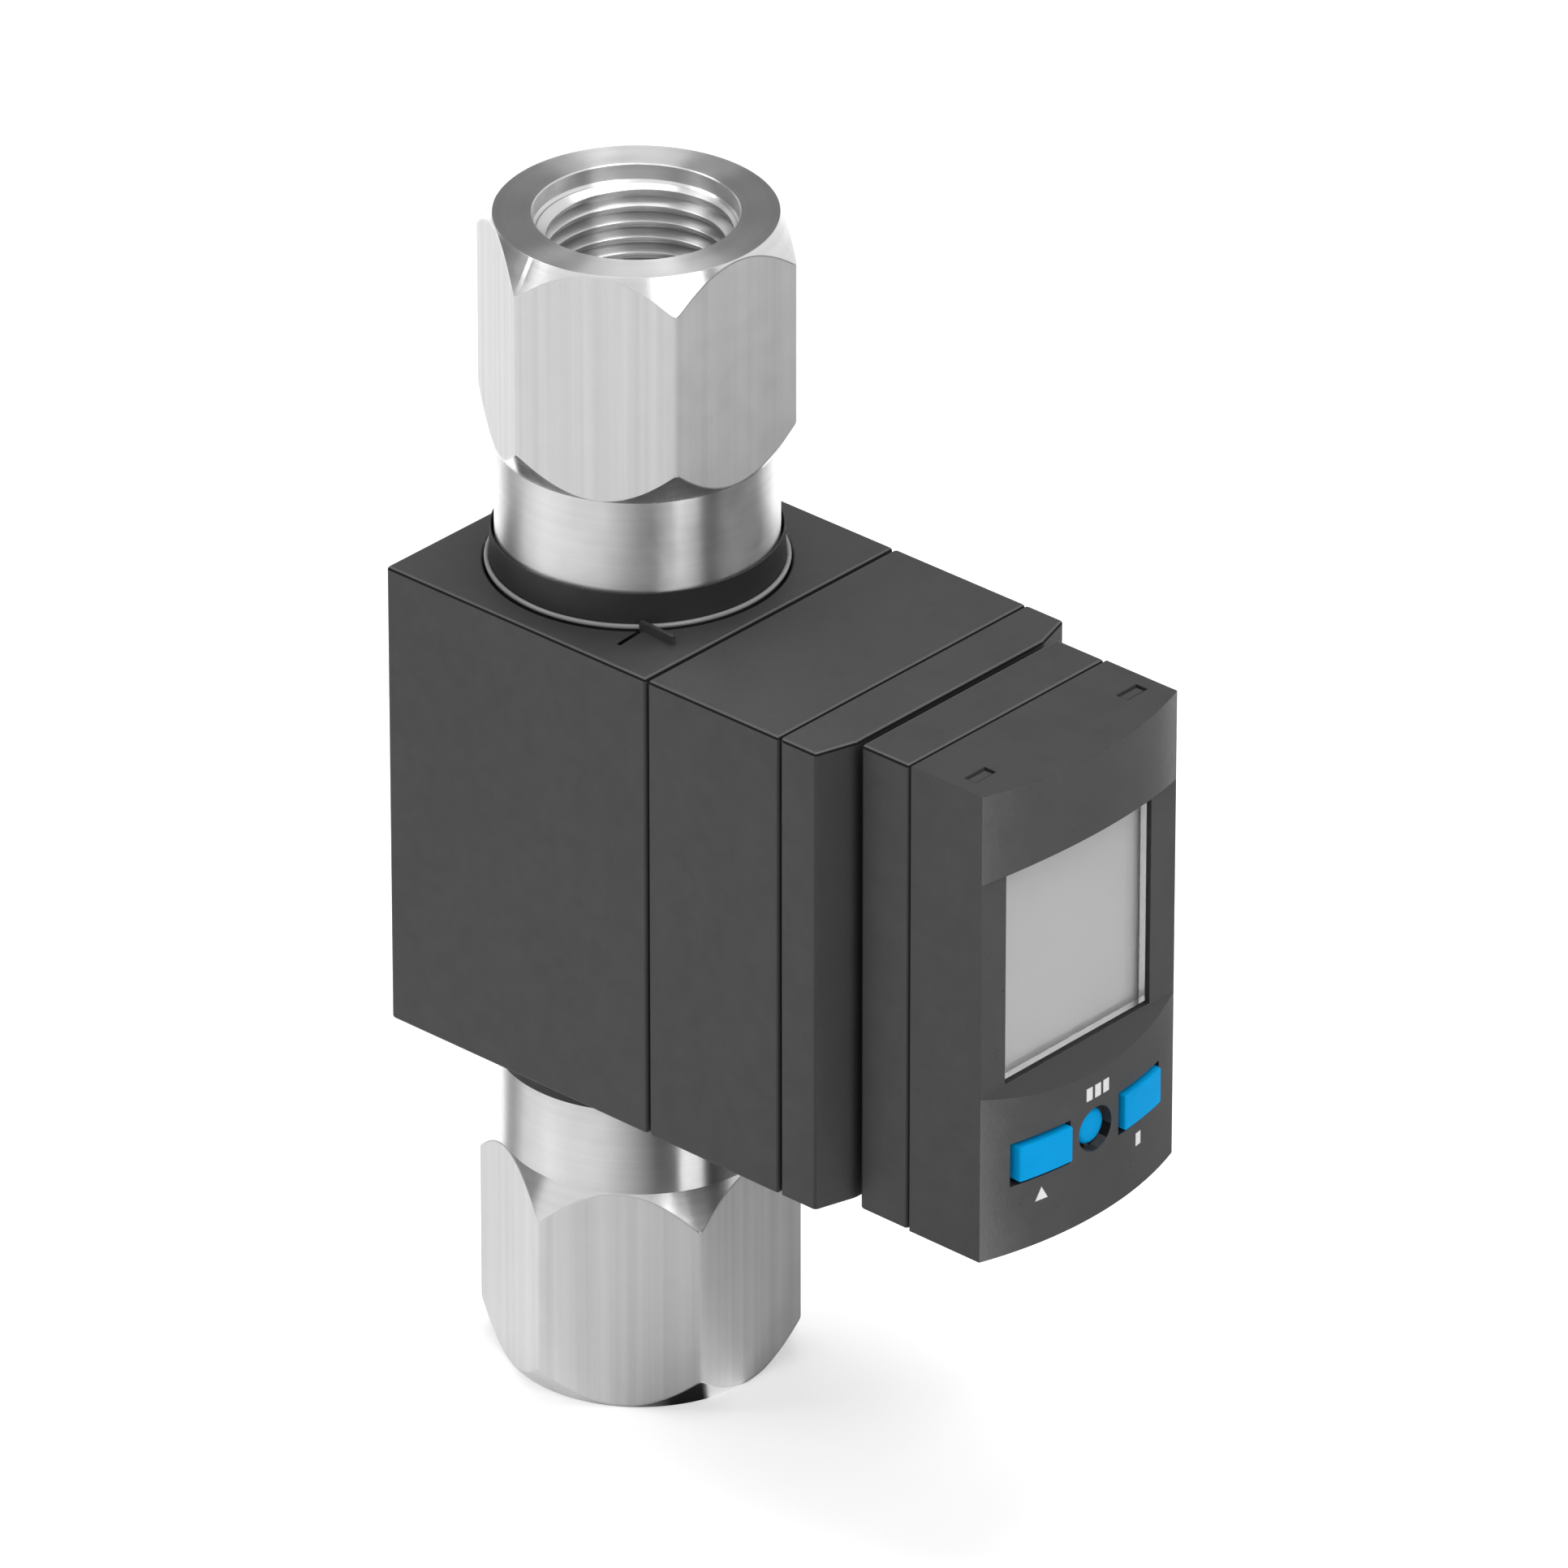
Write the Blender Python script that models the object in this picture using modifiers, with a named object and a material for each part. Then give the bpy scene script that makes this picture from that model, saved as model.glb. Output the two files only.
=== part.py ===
"""In-line vortex flow sensor with a swivelling display head.

Metres, +Z up. The origin is the centre of the housing's flat rear face. The pipe runs
along Z at PIPE_Y, and the display faces -Y.
"""

import math

import bmesh
import bpy
from mathutils import Matrix, Vector

# Clearances and edges
SEAT_GAP = 0.0003            # between two pieces that touch
SEAL_GAP = 0.00015           # between an o-ring and the two walls that squeeze it
OVERCUT = 0.002              # how far a cutter stands past the face that it cuts
JOIN_DEPTH = 0.0004          # how far one part of a moulding is let into the next
HOUSING_EDGE = 0.00035       # rounding of the three blocks
HEAD_EDGE = 0.00035          # rounding of the display head
SHARP_EDGE = math.radians(50)         # what meets at more than this is rounded
SHALLOW_EDGE = math.radians(10)       # the front block's facets are rounded too
SMOOTH_EDGE = math.radians(30)        # what meets at less than this is shaded smooth
MERGE_DISTANCE = 0.00001     # points closer than this are one point
TURN_STEPS = 36              # round the pipe
PLUG_STEPS = 28              # round the connector and the swivel
SMALL_STEPS = 16
PIN_STEPS = 10
HEX_SIDES = 6
SEAL_CORNERS = 7             # round an o-ring's section

# Pipe: fittings and measuring tube
HEX_ACROSS_FLATS = 0.0300
HEX_LENGTH = 0.0262
HEX_CORNER_TURN = math.radians(-5.5)   # one corner of the hexagon, from +X
HEX_FACE_MARGIN = 0.0001     # the end face is this much smaller in radius than the flats
HEX_BLANK_MARGIN = 0.0002    # the turned blank stands this far past the hexagon's corners
CHAMFER_ANGLE = math.radians(53.0)
COLLAR_STEP = 0.00005        # the collar is this much smaller in radius than the flats
COLLAR_LENGTH = 0.0142       # from the housing to the hexagon
THREAD_BORE_RADIUS = 0.009315
THREAD_DEPTH = 0.0160
MOUTH_RADIUS = 0.01075
MOUTH_DEPTH = 0.0018
MOUTH_CONE = 0.0007
BORE_CONE = 0.0020
FLOW_RADIUS = 0.0070
SPIGOT_WALL = 0.0029
SPIGOT_LENGTH = 0.0110
O_RING_GROOVE_DEPTH = 0.0017
O_RING_GROOVE_WIDTH = 0.0024
O_RING_FROM_END = 0.0030
TUBE_WALL = 0.0019
FLANGE_THICKNESS = 0.0017
NECK_RING_WALL = 0.0005
NECK_RING_TAPER = 0.0003     # the ring is this much slimmer at its top
NECK_RING_RISE = 0.0036
NECK_LIP_THICKNESS = 0.0010
NECK_LIP_WIDTH = 0.0022
RIM_CHAMFER = 0.0004

# Flow sensing, in the measuring tube
BLUFF_WIDTH = 0.0034
BLUFF_TAIL = 0.0012
BLUFF_LENGTH = 0.0045
BLUFF_BELOW_CENTRE = 0.0080
BLUFF_SEAT = 0.0014          # how deep the bar's far end sits in the tube's wall
PADDLE_THICKNESS = 0.0010
PADDLE_LENGTH = 0.0045
PADDLE_TIP_ROOM = 0.0010     # from the paddle's tip to the far wall of the bore
PADDLE_ROOT = 0.0030         # how far the paddle reaches into its carrier
PADDLE_EDGE = 0.00025
SENSOR_ABOVE_CENTRE = 0.0040
CARRIER_RADIUS = 0.0040
CARRIER_FLANGE_RADIUS = 0.0056
CARRIER_FLANGE = 0.0012
BOSS_RADIUS = 0.0062
BOSS_RISE = 0.0020           # the sensor boss stands this far off the tube
SENSOR_GROOVE_DEPTH = 0.0011
SENSOR_SEAL_FROM_TIP = 0.0016

# Housing: three blocks on four long screws
HOUSING_HEIGHT = 0.0542
REAR_WALL = 0.00265
FRONT_ROOM = 0.00365         # from the tube's flange to the first seam
SIDE_WALL = 0.0024
END_WALL = 0.0035
PARTITION = 0.0020
ELECTRONICS_DEPTH = 0.0184
FRONT_BLOCK_DEPTH = 0.0066
FRONT_WALL = 0.0024
FACET_WIDTH = 0.0048
FACET_DEPTH = 0.00145
NECK_COVER = 0.0024
SCREW_RADIUS = 0.0015
SCREW_HEAD_RADIUS = 0.00275
SCREW_HEAD_HEIGHT = 0.0030
SCREW_HEAD_SUNK = 0.0004
SCREW_SOCKET_RADIUS = 0.00145
SCREW_SOCKET_DEPTH = 0.0014
SCREW_SEAT_WALL = 0.0018
SCREW_ENGAGEMENT = 0.0040
SCREW_COVER = 0.00115
COLUMN_WALL = 0.0008
COLUMN_TO_FLANGE = 0.0005

# Electronics
BOARD_THICKNESS = 0.0016
BOARD_STANDOFF = 0.0060
BOARD_MARGIN = 0.0016
POST_RADIUS = 0.0015
POST_INSET = 0.0030
COMPONENT_HEIGHT = 0.0016
COMPONENT_SIZE = 0.0070
SENSOR_LEAD_RADIUS = 0.0005
SENSOR_LEAD_PITCH = 0.0030
DISPLAY_LEAD_RADIUS = 0.0015

# M12 plug connector on the +X side
PLUG_RADIUS = 0.0060
PLUG_LENGTH = 0.0120
PLUG_WALL = 0.0009
PLUG_CAVITY_DEPTH = 0.0100
PLUG_FLANGE_RADIUS = 0.0075
PLUG_FLANGE = 0.0020
PLUG_SEAL_THICKNESS = 0.0010
PLUG_NUT_ACROSS_FLATS = 0.0140
PLUG_NUT_THICKNESS = 0.0025
PLUG_TAIL = 0.0012           # thread past the nut
PIN_RADIUS = 0.0005
PIN_CIRCLE_RADIUS = 0.00275
PIN_LENGTH = 0.0053
PIN_TAIL = 0.0020
PIN_COUNT = 4                # round a middle pin
KEY_WIDTH = 0.0012           # the rib that turns a cable's plug the right way
KEY_HEIGHT = 0.0009
KEY_LENGTH = 0.0080

# Swivel
SWIVEL_GAP = 0.0012
HUB_RADIUS = 0.0060
HUB_WALL = 0.0020
HUB_FLANGE_RADIUS = 0.0085
HUB_FLANGE = 0.0014
HUB_TAIL = 0.0007
CLIP_THICKNESS = 0.0008
CLIP_DEPTH = 0.0008          # groove depth
CLIP_WIDTH = 0.0022
CLIP_MOUTH = 0.0035
WASHER_WIDTH = 0.0032

# Display head
WINDOW_WIDTH = 0.0226
JAMB_WIDTH = 0.00385
TOP_BAR_HEIGHT = 0.0104
BAY_HEIGHT = 0.0252
BUTTON_ZONE_HEIGHT = 0.0194
BACK_SHELL_DEPTH = 0.0065
BEZEL_DEPTH = 0.00995        # at the sides
FRONT_BULGE = 0.0026         # further out in the middle
BULGE_STEPS = 20
HEAD_WALL = 0.0018
TOP_BAR_RISE = 0.0010        # how much the bay's upper and lower edges slope away
LEDGE_DROP = 0.0021
WINDOW_MARGIN = 0.0002       # from the window to the top and the foot of the bay
PANE_RECESS = 0.0004
PANE_THICKNESS = 0.0010
PANE_LAP = 0.0014
PANEL_THICKNESS = 0.0016
PANEL_LAP = 0.0006
FRAME_WALL = 0.0008
FRAME_FLOOR = 0.0018
DISPLAY_BOARD_THICKNESS = 0.0012
DISPLAY_BOARD_MARGIN = 0.0014
LATCH_WIDTH = 0.0026
LATCH_THICKNESS = 0.0011
LATCH_REACH = 0.0076
LATCH_HOOK = 0.0019          # height of the hook, out through the bezel's wall
LATCH_HOOK_LENGTH = 0.0014
LATCH_ROOT = 0.0030

# Push-buttons
BUTTON_WIDTH = 0.0073
BUTTON_HEIGHT = 0.0045
BUTTON_PITCH = 0.0154
BUTTONS_BELOW_BAY = 0.0089
BUTTON_PROUD = 0.0008
BUTTON_EDGE = 0.0004
BUTTON_STEPS = 6             # across its face, which follows the bulge
BUTTON_TRAVEL = 0.0004
BUTTON_FREE_PLAY = 0.0001
BUTTON_LIP = 0.0006
BUTTON_LIP_THICKNESS = 0.0008
ROUND_BUTTON_RADIUS = 0.0019
ROUND_BUTTON_SUNK = 0.0006
PLUNGER_RADIUS = 0.0012
SWITCH_HEIGHT = 0.0020
SWITCH_RADIUS = 0.0021
DOME_RADIUS = 0.0014
DOME_TOP_RADIUS = 0.0008
DOME_HEIGHT = 0.0007

# Derived radii along the pipe
COLLAR_RADIUS = HEX_ACROSS_FLATS / 2 - COLLAR_STEP
SPIGOT_RADIUS = FLOW_RADIUS + SPIGOT_WALL
SPIGOT_SEAT_RADIUS = SPIGOT_RADIUS + SEAT_GAP
TUBE_RADIUS = SPIGOT_SEAT_RADIUS + TUBE_WALL
FLANGE_RADIUS = COLLAR_RADIUS
NECK_RING_BORE = COLLAR_RADIUS + SEAT_GAP
NECK_RING_RADIUS = NECK_RING_BORE + NECK_RING_WALL
NECK_HOLE_RADIUS = NECK_RING_RADIUS + SEAT_GAP

# Derived positions of the housing
PIPE_Y = -(REAR_WALL + SEAT_GAP + FLANGE_RADIUS)
FIRST_SEAM = PIPE_Y - FLANGE_RADIUS - FRONT_ROOM
SECOND_SEAM = FIRST_SEAM - ELECTRONICS_DEPTH
BLOCK_FRONT = SECOND_SEAM - FRONT_BLOCK_DEPTH
HALF_HEIGHT = HOUSING_HEIGHT / 2
CAVITY_HALF_HEIGHT = HALF_HEIGHT - END_WALL
SCREW_HOLE_RADIUS = SCREW_RADIUS + SEAT_GAP
HEAD_SEAT_RADIUS = SCREW_HEAD_RADIUS + SEAT_GAP
COLUMN_RADIUS = SCREW_HOLE_RADIUS + COLUMN_WALL
SCREW_X = TUBE_RADIUS + SEAT_GAP + COLUMN_RADIUS
SCREW_Z = CAVITY_HALF_HEIGHT - FLANGE_THICKNESS - COLUMN_TO_FLANGE - COLUMN_RADIUS
SCREW_SEAT_Y = -(SCREW_HEAD_SUNK + SCREW_HEAD_HEIGHT)
HALF_WIDTH = max(SCREW_X + HEAD_SEAT_RADIUS + SCREW_COVER, NECK_HOLE_RADIUS + NECK_COVER)
CAVITY_HALF_WIDTH = HALF_WIDTH - SIDE_WALL
FITTING_END = HALF_HEIGHT + COLLAR_LENGTH + HEX_LENGTH
PARTITION_FRONT = FIRST_SEAM - SEAT_GAP - PARTITION
PLUG_Y = (PARTITION_FRONT + SECOND_SEAM) / 2
CARRIER_FRONT = PIPE_Y - TUBE_RADIUS - BOSS_RISE - SEAT_GAP - CARRIER_FLANGE
SIGNAL_BOARD_REAR = PARTITION_FRONT - BOARD_STANDOFF
SIGNAL_BOARD_FRONT = SIGNAL_BOARD_REAR - BOARD_THICKNESS

# Derived positions of the head
HEAD_REAR = BLOCK_FRONT - SWIVEL_GAP
HEAD_SEAM = HEAD_REAR - BACK_SHELL_DEPTH
HEAD_CORNER = HEAD_SEAM - BEZEL_DEPTH
HEAD_FRONT = HEAD_CORNER - FRONT_BULGE
HEAD_HALF_WIDTH = WINDOW_WIDTH / 2 + JAMB_WIDTH
HEAD_HALF_HEIGHT = (TOP_BAR_HEIGHT + BAY_HEIGHT + BUTTON_ZONE_HEIGHT) / 2
BULGE_RADIUS = (HEAD_HALF_WIDTH**2 + FRONT_BULGE**2) / (2 * FRONT_BULGE)
BULGE_CENTRE_Y = HEAD_FRONT + BULGE_RADIUS
BAY_TOP = HEAD_HALF_HEIGHT - TOP_BAR_HEIGHT
BAY_FOOT = BAY_TOP - BAY_HEIGHT
WINDOW_TOP = BAY_TOP - WINDOW_MARGIN
WINDOW_FOOT = BAY_FOOT + WINDOW_MARGIN
BEZEL_INSIDE = HEAD_CORNER + HEAD_WALL
PANE_REAR = BEZEL_INSIDE + SEAT_GAP + PANE_THICKNESS
PANEL_FRONT = PANE_REAR + SEAT_GAP
PANEL_REAR = PANEL_FRONT + PANEL_THICKNESS
FRAME_REAR = PANEL_REAR + SEAT_GAP + FRAME_FLOOR
DISPLAY_BOARD_FRONT = FRAME_REAR + SEAT_GAP
DISPLAY_BOARD_REAR = DISPLAY_BOARD_FRONT + DISPLAY_BOARD_THICKNESS
HEAD_INSIDE_HALF_WIDTH = HEAD_HALF_WIDTH - HEAD_WALL
HEAD_INSIDE_HALF_HEIGHT = HEAD_HALF_HEIGHT - HEAD_WALL
LATCH_X = HEAD_INSIDE_HALF_WIDTH - SEAT_GAP - LATCH_WIDTH / 2
LATCH_TOP = HEAD_INSIDE_HALF_HEIGHT - SEAT_GAP
DISPLAY_BOARD_HALF_HEIGHT = LATCH_TOP - LATCH_THICKNESS - DISPLAY_BOARD_MARGIN
BUTTON_Z = BAY_FOOT - BUTTONS_BELOW_BAY
BUTTON_LIP_FRONT = BEZEL_INSIDE + SEAT_GAP
DOME_FRONT = DISPLAY_BOARD_FRONT - SEAT_GAP - SWITCH_HEIGHT
PLUNGER_REAR = DOME_FRONT - BUTTON_FREE_PLAY - BUTTON_TRAVEL

# Directions that a turned piece's axis can point along
QUARTER_TURN = math.radians(90)
ALONG_X = Matrix.Rotation(QUARTER_TURN, 4, "Y")
ALONG_Y = Matrix.Rotation(-QUARTER_TURN, 4, "X")
ALONG_MINUS_Y = Matrix.Rotation(QUARTER_TURN, 4, "X")
ALONG_Z = Matrix.Identity(4)
ALONG_MINUS_Z = Matrix.Rotation(2 * QUARTER_TURN, 4, "X")


def clear_scene():
    """Removes the objects that Blender starts with."""
    for obj in list(bpy.data.objects):
        bpy.data.objects.remove(obj, do_unlink=True)


def collection(name):
    """The scene's collection of this name, made if it isn't there yet."""
    found = bpy.data.collections.get(name)
    if found is None:
        found = bpy.data.collections.new(name)
        bpy.context.scene.collection.children.link(found)
    return found


def material(name, colour, roughness, metallic=0.0):
    """A plain Principled material, made once for each name."""
    made = bpy.data.materials.get(name)
    if made is not None:
        return made
    made = bpy.data.materials.new(name)
    made.use_nodes = True
    shader = made.node_tree.nodes["Principled BSDF"]
    shader.inputs["Base Color"].default_value = (*colour, 1.0)
    shader.inputs["Roughness"].default_value = roughness
    shader.inputs["Metallic"].default_value = metallic
    made.diffuse_color = (*colour, 1.0)
    return made


def stainless():
    return material("stainless", (0.56, 0.56, 0.57), 0.28, 1.0)


def housing_plastic():
    return material("housing_plastic", (0.075, 0.075, 0.078), 0.55)


def black_rubber():
    return material("black_rubber", (0.012, 0.012, 0.013), 0.6)


def tube_plastic():
    return material("tube_plastic", (0.16, 0.15, 0.14), 0.45)


def steel():
    return material("zinc_steel", (0.55, 0.55, 0.56), 0.35, 1.0)


def nickel():
    return material("nickel_brass", (0.62, 0.60, 0.56), 0.3, 1.0)


def gold():
    return material("gold_contact", (0.83, 0.62, 0.25), 0.3, 1.0)


def board_green():
    return material("circuit_board", (0.02, 0.12, 0.05), 0.45)


def clear_window():
    return material("clear_window", (0.75, 0.77, 0.78), 0.08)


def display_grey():
    return material("display_grey", (0.42, 0.44, 0.43), 0.3)


def frame_white():
    return material("frame_white", (0.75, 0.75, 0.72), 0.5)


def button_blue():
    return material("button_blue", (0.0, 0.28, 0.75), 0.45)


def add_object(name, mesh, finish=None):
    """Puts a mesh in the scene, as a piece if it has a finish and as a helper if it has none."""
    obj = bpy.data.objects.new(name, mesh)
    if finish is None:
        collection("cutters").objects.link(obj)
        obj.hide_render = True
        obj.display_type = "WIRE"
    else:
        collection("flow_sensor").objects.link(obj)
        mesh.materials.append(finish)
    return obj


def block(name, low, high, finish=None):
    """A box from its lowest to its highest corner."""
    low = Vector(low)
    high = Vector(high)
    cage = bmesh.new()
    bmesh.ops.create_cube(cage, size=1.0)
    bmesh.ops.scale(cage, vec=high - low, verts=cage.verts)
    mesh = bpy.data.meshes.new(name)
    cage.to_mesh(mesh)
    cage.free()
    obj = add_object(name, mesh, finish)
    obj.location = (low + high) / 2
    return obj


def wide_block(name, half_width, half_height, rear, front, finish=None, z=0.0, x=0.0):
    """A box centred on x and z, from its rear to its front along Y."""
    low = (x - half_width, front, z - half_height)
    high = (x + half_width, rear, z + half_height)
    return block(name, low, high, finish)


def rod(name, radius, length, direction, place, finish=None, sides=SMALL_STEPS):
    """A cylinder or a prism that starts at its place and runs along its direction."""
    cage = bmesh.new()
    bmesh.ops.create_cone(
        cage, cap_ends=True, segments=sides, radius1=radius, radius2=radius, depth=length
    )
    bmesh.ops.translate(cage, vec=(0.0, 0.0, length / 2), verts=cage.verts)
    mesh = bpy.data.meshes.new(name)
    cage.to_mesh(mesh)
    cage.free()
    mesh.shade_smooth()
    mesh.set_sharp_from_angle(angle=SMOOTH_EDGE)
    obj = add_object(name, mesh, finish)
    obj.matrix_world = Matrix.Translation(place) @ direction
    return obj


def turned(name, profile, direction, place, finish=None, steps=TURN_STEPS):
    """A closed profile of (radius, height) points, turned round its axis.

    The points run down the outer side and back up the inner side.
    """
    mesh = bpy.data.meshes.new(name)
    points = [(radius, 0.0, height) for radius, height in profile]
    edges = [(i, (i + 1) % len(points)) for i in range(len(points))]
    mesh.from_pydata(points, edges, [])
    obj = add_object(name, mesh, finish)
    obj.matrix_world = Matrix.Translation(place) @ direction
    screw = obj.modifiers.new("turn", "SCREW")
    screw.steps = steps
    screw.render_steps = steps
    screw.use_merge_vertices = True
    screw.merge_threshold = MERGE_DISTANCE
    screw.use_smooth_shade = True
    return obj


def ring(name, bore, radius, low, high, direction, place, finish=None, steps=PLUG_STEPS):
    """A plain ring from its low to its high end."""
    profile = [(radius, high), (radius, low), (bore, low), (bore, high)]
    return turned(name, profile, direction, place, finish, steps)


def o_ring(name, middle_radius, section_radius, direction, place, steps):
    """A round rubber ring."""
    turns = [2 * math.pi * i / SEAL_CORNERS for i in range(SEAL_CORNERS)]
    profile = [
        (middle_radius + section_radius * math.cos(a), -section_radius * math.sin(a))
        for a in turns
    ]
    turned(name, profile, direction, place, black_rubber(), steps)


def extruded(name, outline, half_length, direction, finish=None):
    """A flat outline, extruded both ways from its plane, as a mesh with its caps welded on."""
    curve = bpy.data.curves.new(name, "CURVE")
    curve.dimensions = "2D"
    curve.fill_mode = "BOTH"
    curve.extrude = half_length
    spline = curve.splines.new("POLY")
    spline.points.add(len(outline) - 1)
    for point, (x, y) in zip(spline.points, outline):
        point.co = (x, y, 0.0, 1.0)
    spline.use_cyclic_u = True
    guide = bpy.data.objects.new(name + "_outline", curve)
    collection("cutters").objects.link(guide)
    bpy.context.view_layer.update()
    graph = bpy.context.evaluated_depsgraph_get()
    mesh = bpy.data.meshes.new_from_object(guide.evaluated_get(graph))
    bpy.data.objects.remove(guide, do_unlink=True)
    cage = bmesh.new()
    cage.from_mesh(mesh)
    bmesh.ops.remove_doubles(cage, verts=cage.verts, dist=MERGE_DISTANCE)
    bmesh.ops.recalc_face_normals(cage, faces=cage.faces)
    cage.to_mesh(mesh)
    cage.free()
    mesh.materials.clear()
    mesh.name = name
    obj = add_object(name, mesh, finish)
    obj.matrix_world = direction
    return obj


def combine(target, helper, operation):
    """Adds a Boolean with the exact solver to the target."""
    modifier = target.modifiers.new(helper.name, "BOOLEAN")
    modifier.operation = operation
    modifier.solver = "EXACT"
    modifier.object = helper


def cut(target, *helpers):
    for helper in helpers:
        combine(target, helper, "DIFFERENCE")


def join(target, *helpers):
    for helper in helpers:
        combine(target, helper, "UNION")


def round_edges(obj, width, segments=2, least_angle=SHARP_EDGE):
    """Rounds the edges that the object has so far where they turn more than the least angle."""
    bevel = obj.modifiers.new("edges", "BEVEL")
    bevel.width = width
    bevel.segments = segments
    bevel.limit_method = "ANGLE"
    bevel.angle_limit = least_angle


def bulge_points(half_width, proud=0.0):
    """Points along the head's bulged front, from -X to +X, this much proud of it."""
    radius = BULGE_RADIUS + proud
    reach = math.asin(half_width / radius)
    turns = [reach * (2 * i / BULGE_STEPS - 1) for i in range(BULGE_STEPS + 1)]
    return [(radius * math.sin(a), BULGE_CENTRE_Y - radius * math.cos(a)) for a in turns]


def hexagon_corner(across_flats):
    """A hexagon's radius at its corners."""
    return across_flats / 2 / math.cos(math.pi / HEX_SIDES)


def fitting_blank_profile():
    """The fitting's turned form, with z = 0 at its threaded end and the spigot at the foot."""
    corner = hexagon_corner(HEX_ACROSS_FLATS) + HEX_BLANK_MARGIN
    face = HEX_ACROSS_FLATS / 2 - HEX_FACE_MARGIN
    chamfer = (corner - face) * math.tan(CHAMFER_ANGLE)
    shoulder = -(HEX_LENGTH + COLLAR_LENGTH + END_WALL - 2 * SEAT_GAP - NECK_LIP_THICKNESS)
    foot = shoulder - SPIGOT_LENGTH
    groove_low = foot + O_RING_FROM_END
    groove_high = groove_low + O_RING_GROOVE_WIDTH
    groove = SPIGOT_RADIUS - O_RING_GROOVE_DEPTH
    return [
        (face, 0.0),
        (corner, -chamfer),
        (corner, chamfer - HEX_LENGTH),
        (COLLAR_RADIUS, -HEX_LENGTH),
        (COLLAR_RADIUS, shoulder),
        (SPIGOT_RADIUS, shoulder),
        (SPIGOT_RADIUS, groove_high),
        (groove, groove_high),
        (groove, groove_low),
        (SPIGOT_RADIUS, groove_low),
        (SPIGOT_RADIUS, foot),
        (FLOW_RADIUS, foot),
        (FLOW_RADIUS, -THREAD_DEPTH - BORE_CONE),
        (THREAD_BORE_RADIUS, -THREAD_DEPTH),
        (THREAD_BORE_RADIUS, -MOUTH_DEPTH - MOUTH_CONE),
        (MOUTH_RADIUS, -MOUTH_DEPTH),
        (MOUTH_RADIUS, 0.0),
    ]


def add_fitting(name, direction, end_z):
    """A fitting turned from bar, with the hexagon milled on it."""
    place = Vector((0.0, PIPE_Y, end_z))
    blank = turned(name, fitting_blank_profile(), direction, place, stainless())
    corner = hexagon_corner(HEX_ACROSS_FLATS)
    length = 2 * (FITTING_END + OVERCUT)
    start = Vector((0.0, PIPE_Y, -length / 2))
    turn = Matrix.Rotation(HEX_CORNER_TURN - QUARTER_TURN, 4, "Z")
    hexagon = rod(name + "_hexagon", corner, length, turn, start, sides=HEX_SIDES)
    combine(blank, hexagon, "INTERSECT")


def add_neck_ring(name, direction, housing_end):
    """The black ring round a collar's foot, with a lip that the collar's shoulder stands on."""
    low = -END_WALL + SEAT_GAP
    lip_top = low + NECK_LIP_THICKNESS
    lip_bore = NECK_RING_BORE - NECK_LIP_WIDTH
    profile = [
        (NECK_RING_RADIUS - NECK_RING_TAPER, NECK_RING_RISE),
        (NECK_RING_RADIUS, 0.0),
        (NECK_RING_RADIUS, low),
        (lip_bore, low),
        (lip_bore, lip_top),
        (NECK_RING_BORE, lip_top),
        (NECK_RING_BORE, NECK_RING_RISE),
    ]
    place = Vector((0.0, PIPE_Y, housing_end))
    turned(name, profile, direction, place, black_rubber())


def add_fitting_seal(name, side):
    """The o-ring in a fitting's groove. side is 1 above and -1 below."""
    shoulder = HALF_HEIGHT - END_WALL + 2 * SEAT_GAP + NECK_LIP_THICKNESS
    middle = shoulder - SPIGOT_LENGTH + O_RING_FROM_END + O_RING_GROOVE_WIDTH / 2
    groove = SPIGOT_RADIUS - O_RING_GROOVE_DEPTH
    section = (SPIGOT_SEAT_RADIUS - groove) / 2 - SEAL_GAP
    radius = (SPIGOT_SEAT_RADIUS + groove) / 2
    place = Vector((0.0, PIPE_Y, side * middle))
    o_ring(name, radius, section, ALONG_Z, place, PLUG_STEPS)


def measuring_tube_profile():
    """The moulded tube between the fittings, a flange at each end and the flow bore between."""
    top = CAVITY_HALF_HEIGHT
    flange = top - FLANGE_THICKNESS
    shoulder = HALF_HEIGHT - END_WALL + 2 * SEAT_GAP + NECK_LIP_THICKNESS
    seat = shoulder - SPIGOT_LENGTH - SEAT_GAP
    return [
        (FLANGE_RADIUS, top),
        (FLANGE_RADIUS, flange),
        (TUBE_RADIUS, flange),
        (TUBE_RADIUS, -flange),
        (FLANGE_RADIUS, -flange),
        (FLANGE_RADIUS, -top),
        (SPIGOT_SEAT_RADIUS, -top),
        (SPIGOT_SEAT_RADIUS, -seat),
        (FLOW_RADIUS, -seat),
        (FLOW_RADIUS, seat),
        (SPIGOT_SEAT_RADIUS, seat),
        (SPIGOT_SEAT_RADIUS, top),
    ]


def bluff_outline(grow=0.0):
    """The bluff body's section across the flow, wide face down."""
    half = BLUFF_WIDTH / 2 + grow
    tail = BLUFF_TAIL / 2 + grow
    low = -BLUFF_BELOW_CENTRE - BLUFF_LENGTH / 2 - grow
    high = -BLUFF_BELOW_CENTRE + BLUFF_LENGTH / 2 + grow
    return [(-half, low), (half, low), (tail, high), (-tail, high)]


def standing_plate(name, outline, rear, front, finish=None):
    """An outline in X and Z, extruded from its rear to its front along Y."""
    middle = Matrix.Translation((0.0, (rear + front) / 2, 0.0))
    return extruded(name, outline, abs(rear - front) / 2, middle @ ALONG_MINUS_Y, finish)


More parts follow.
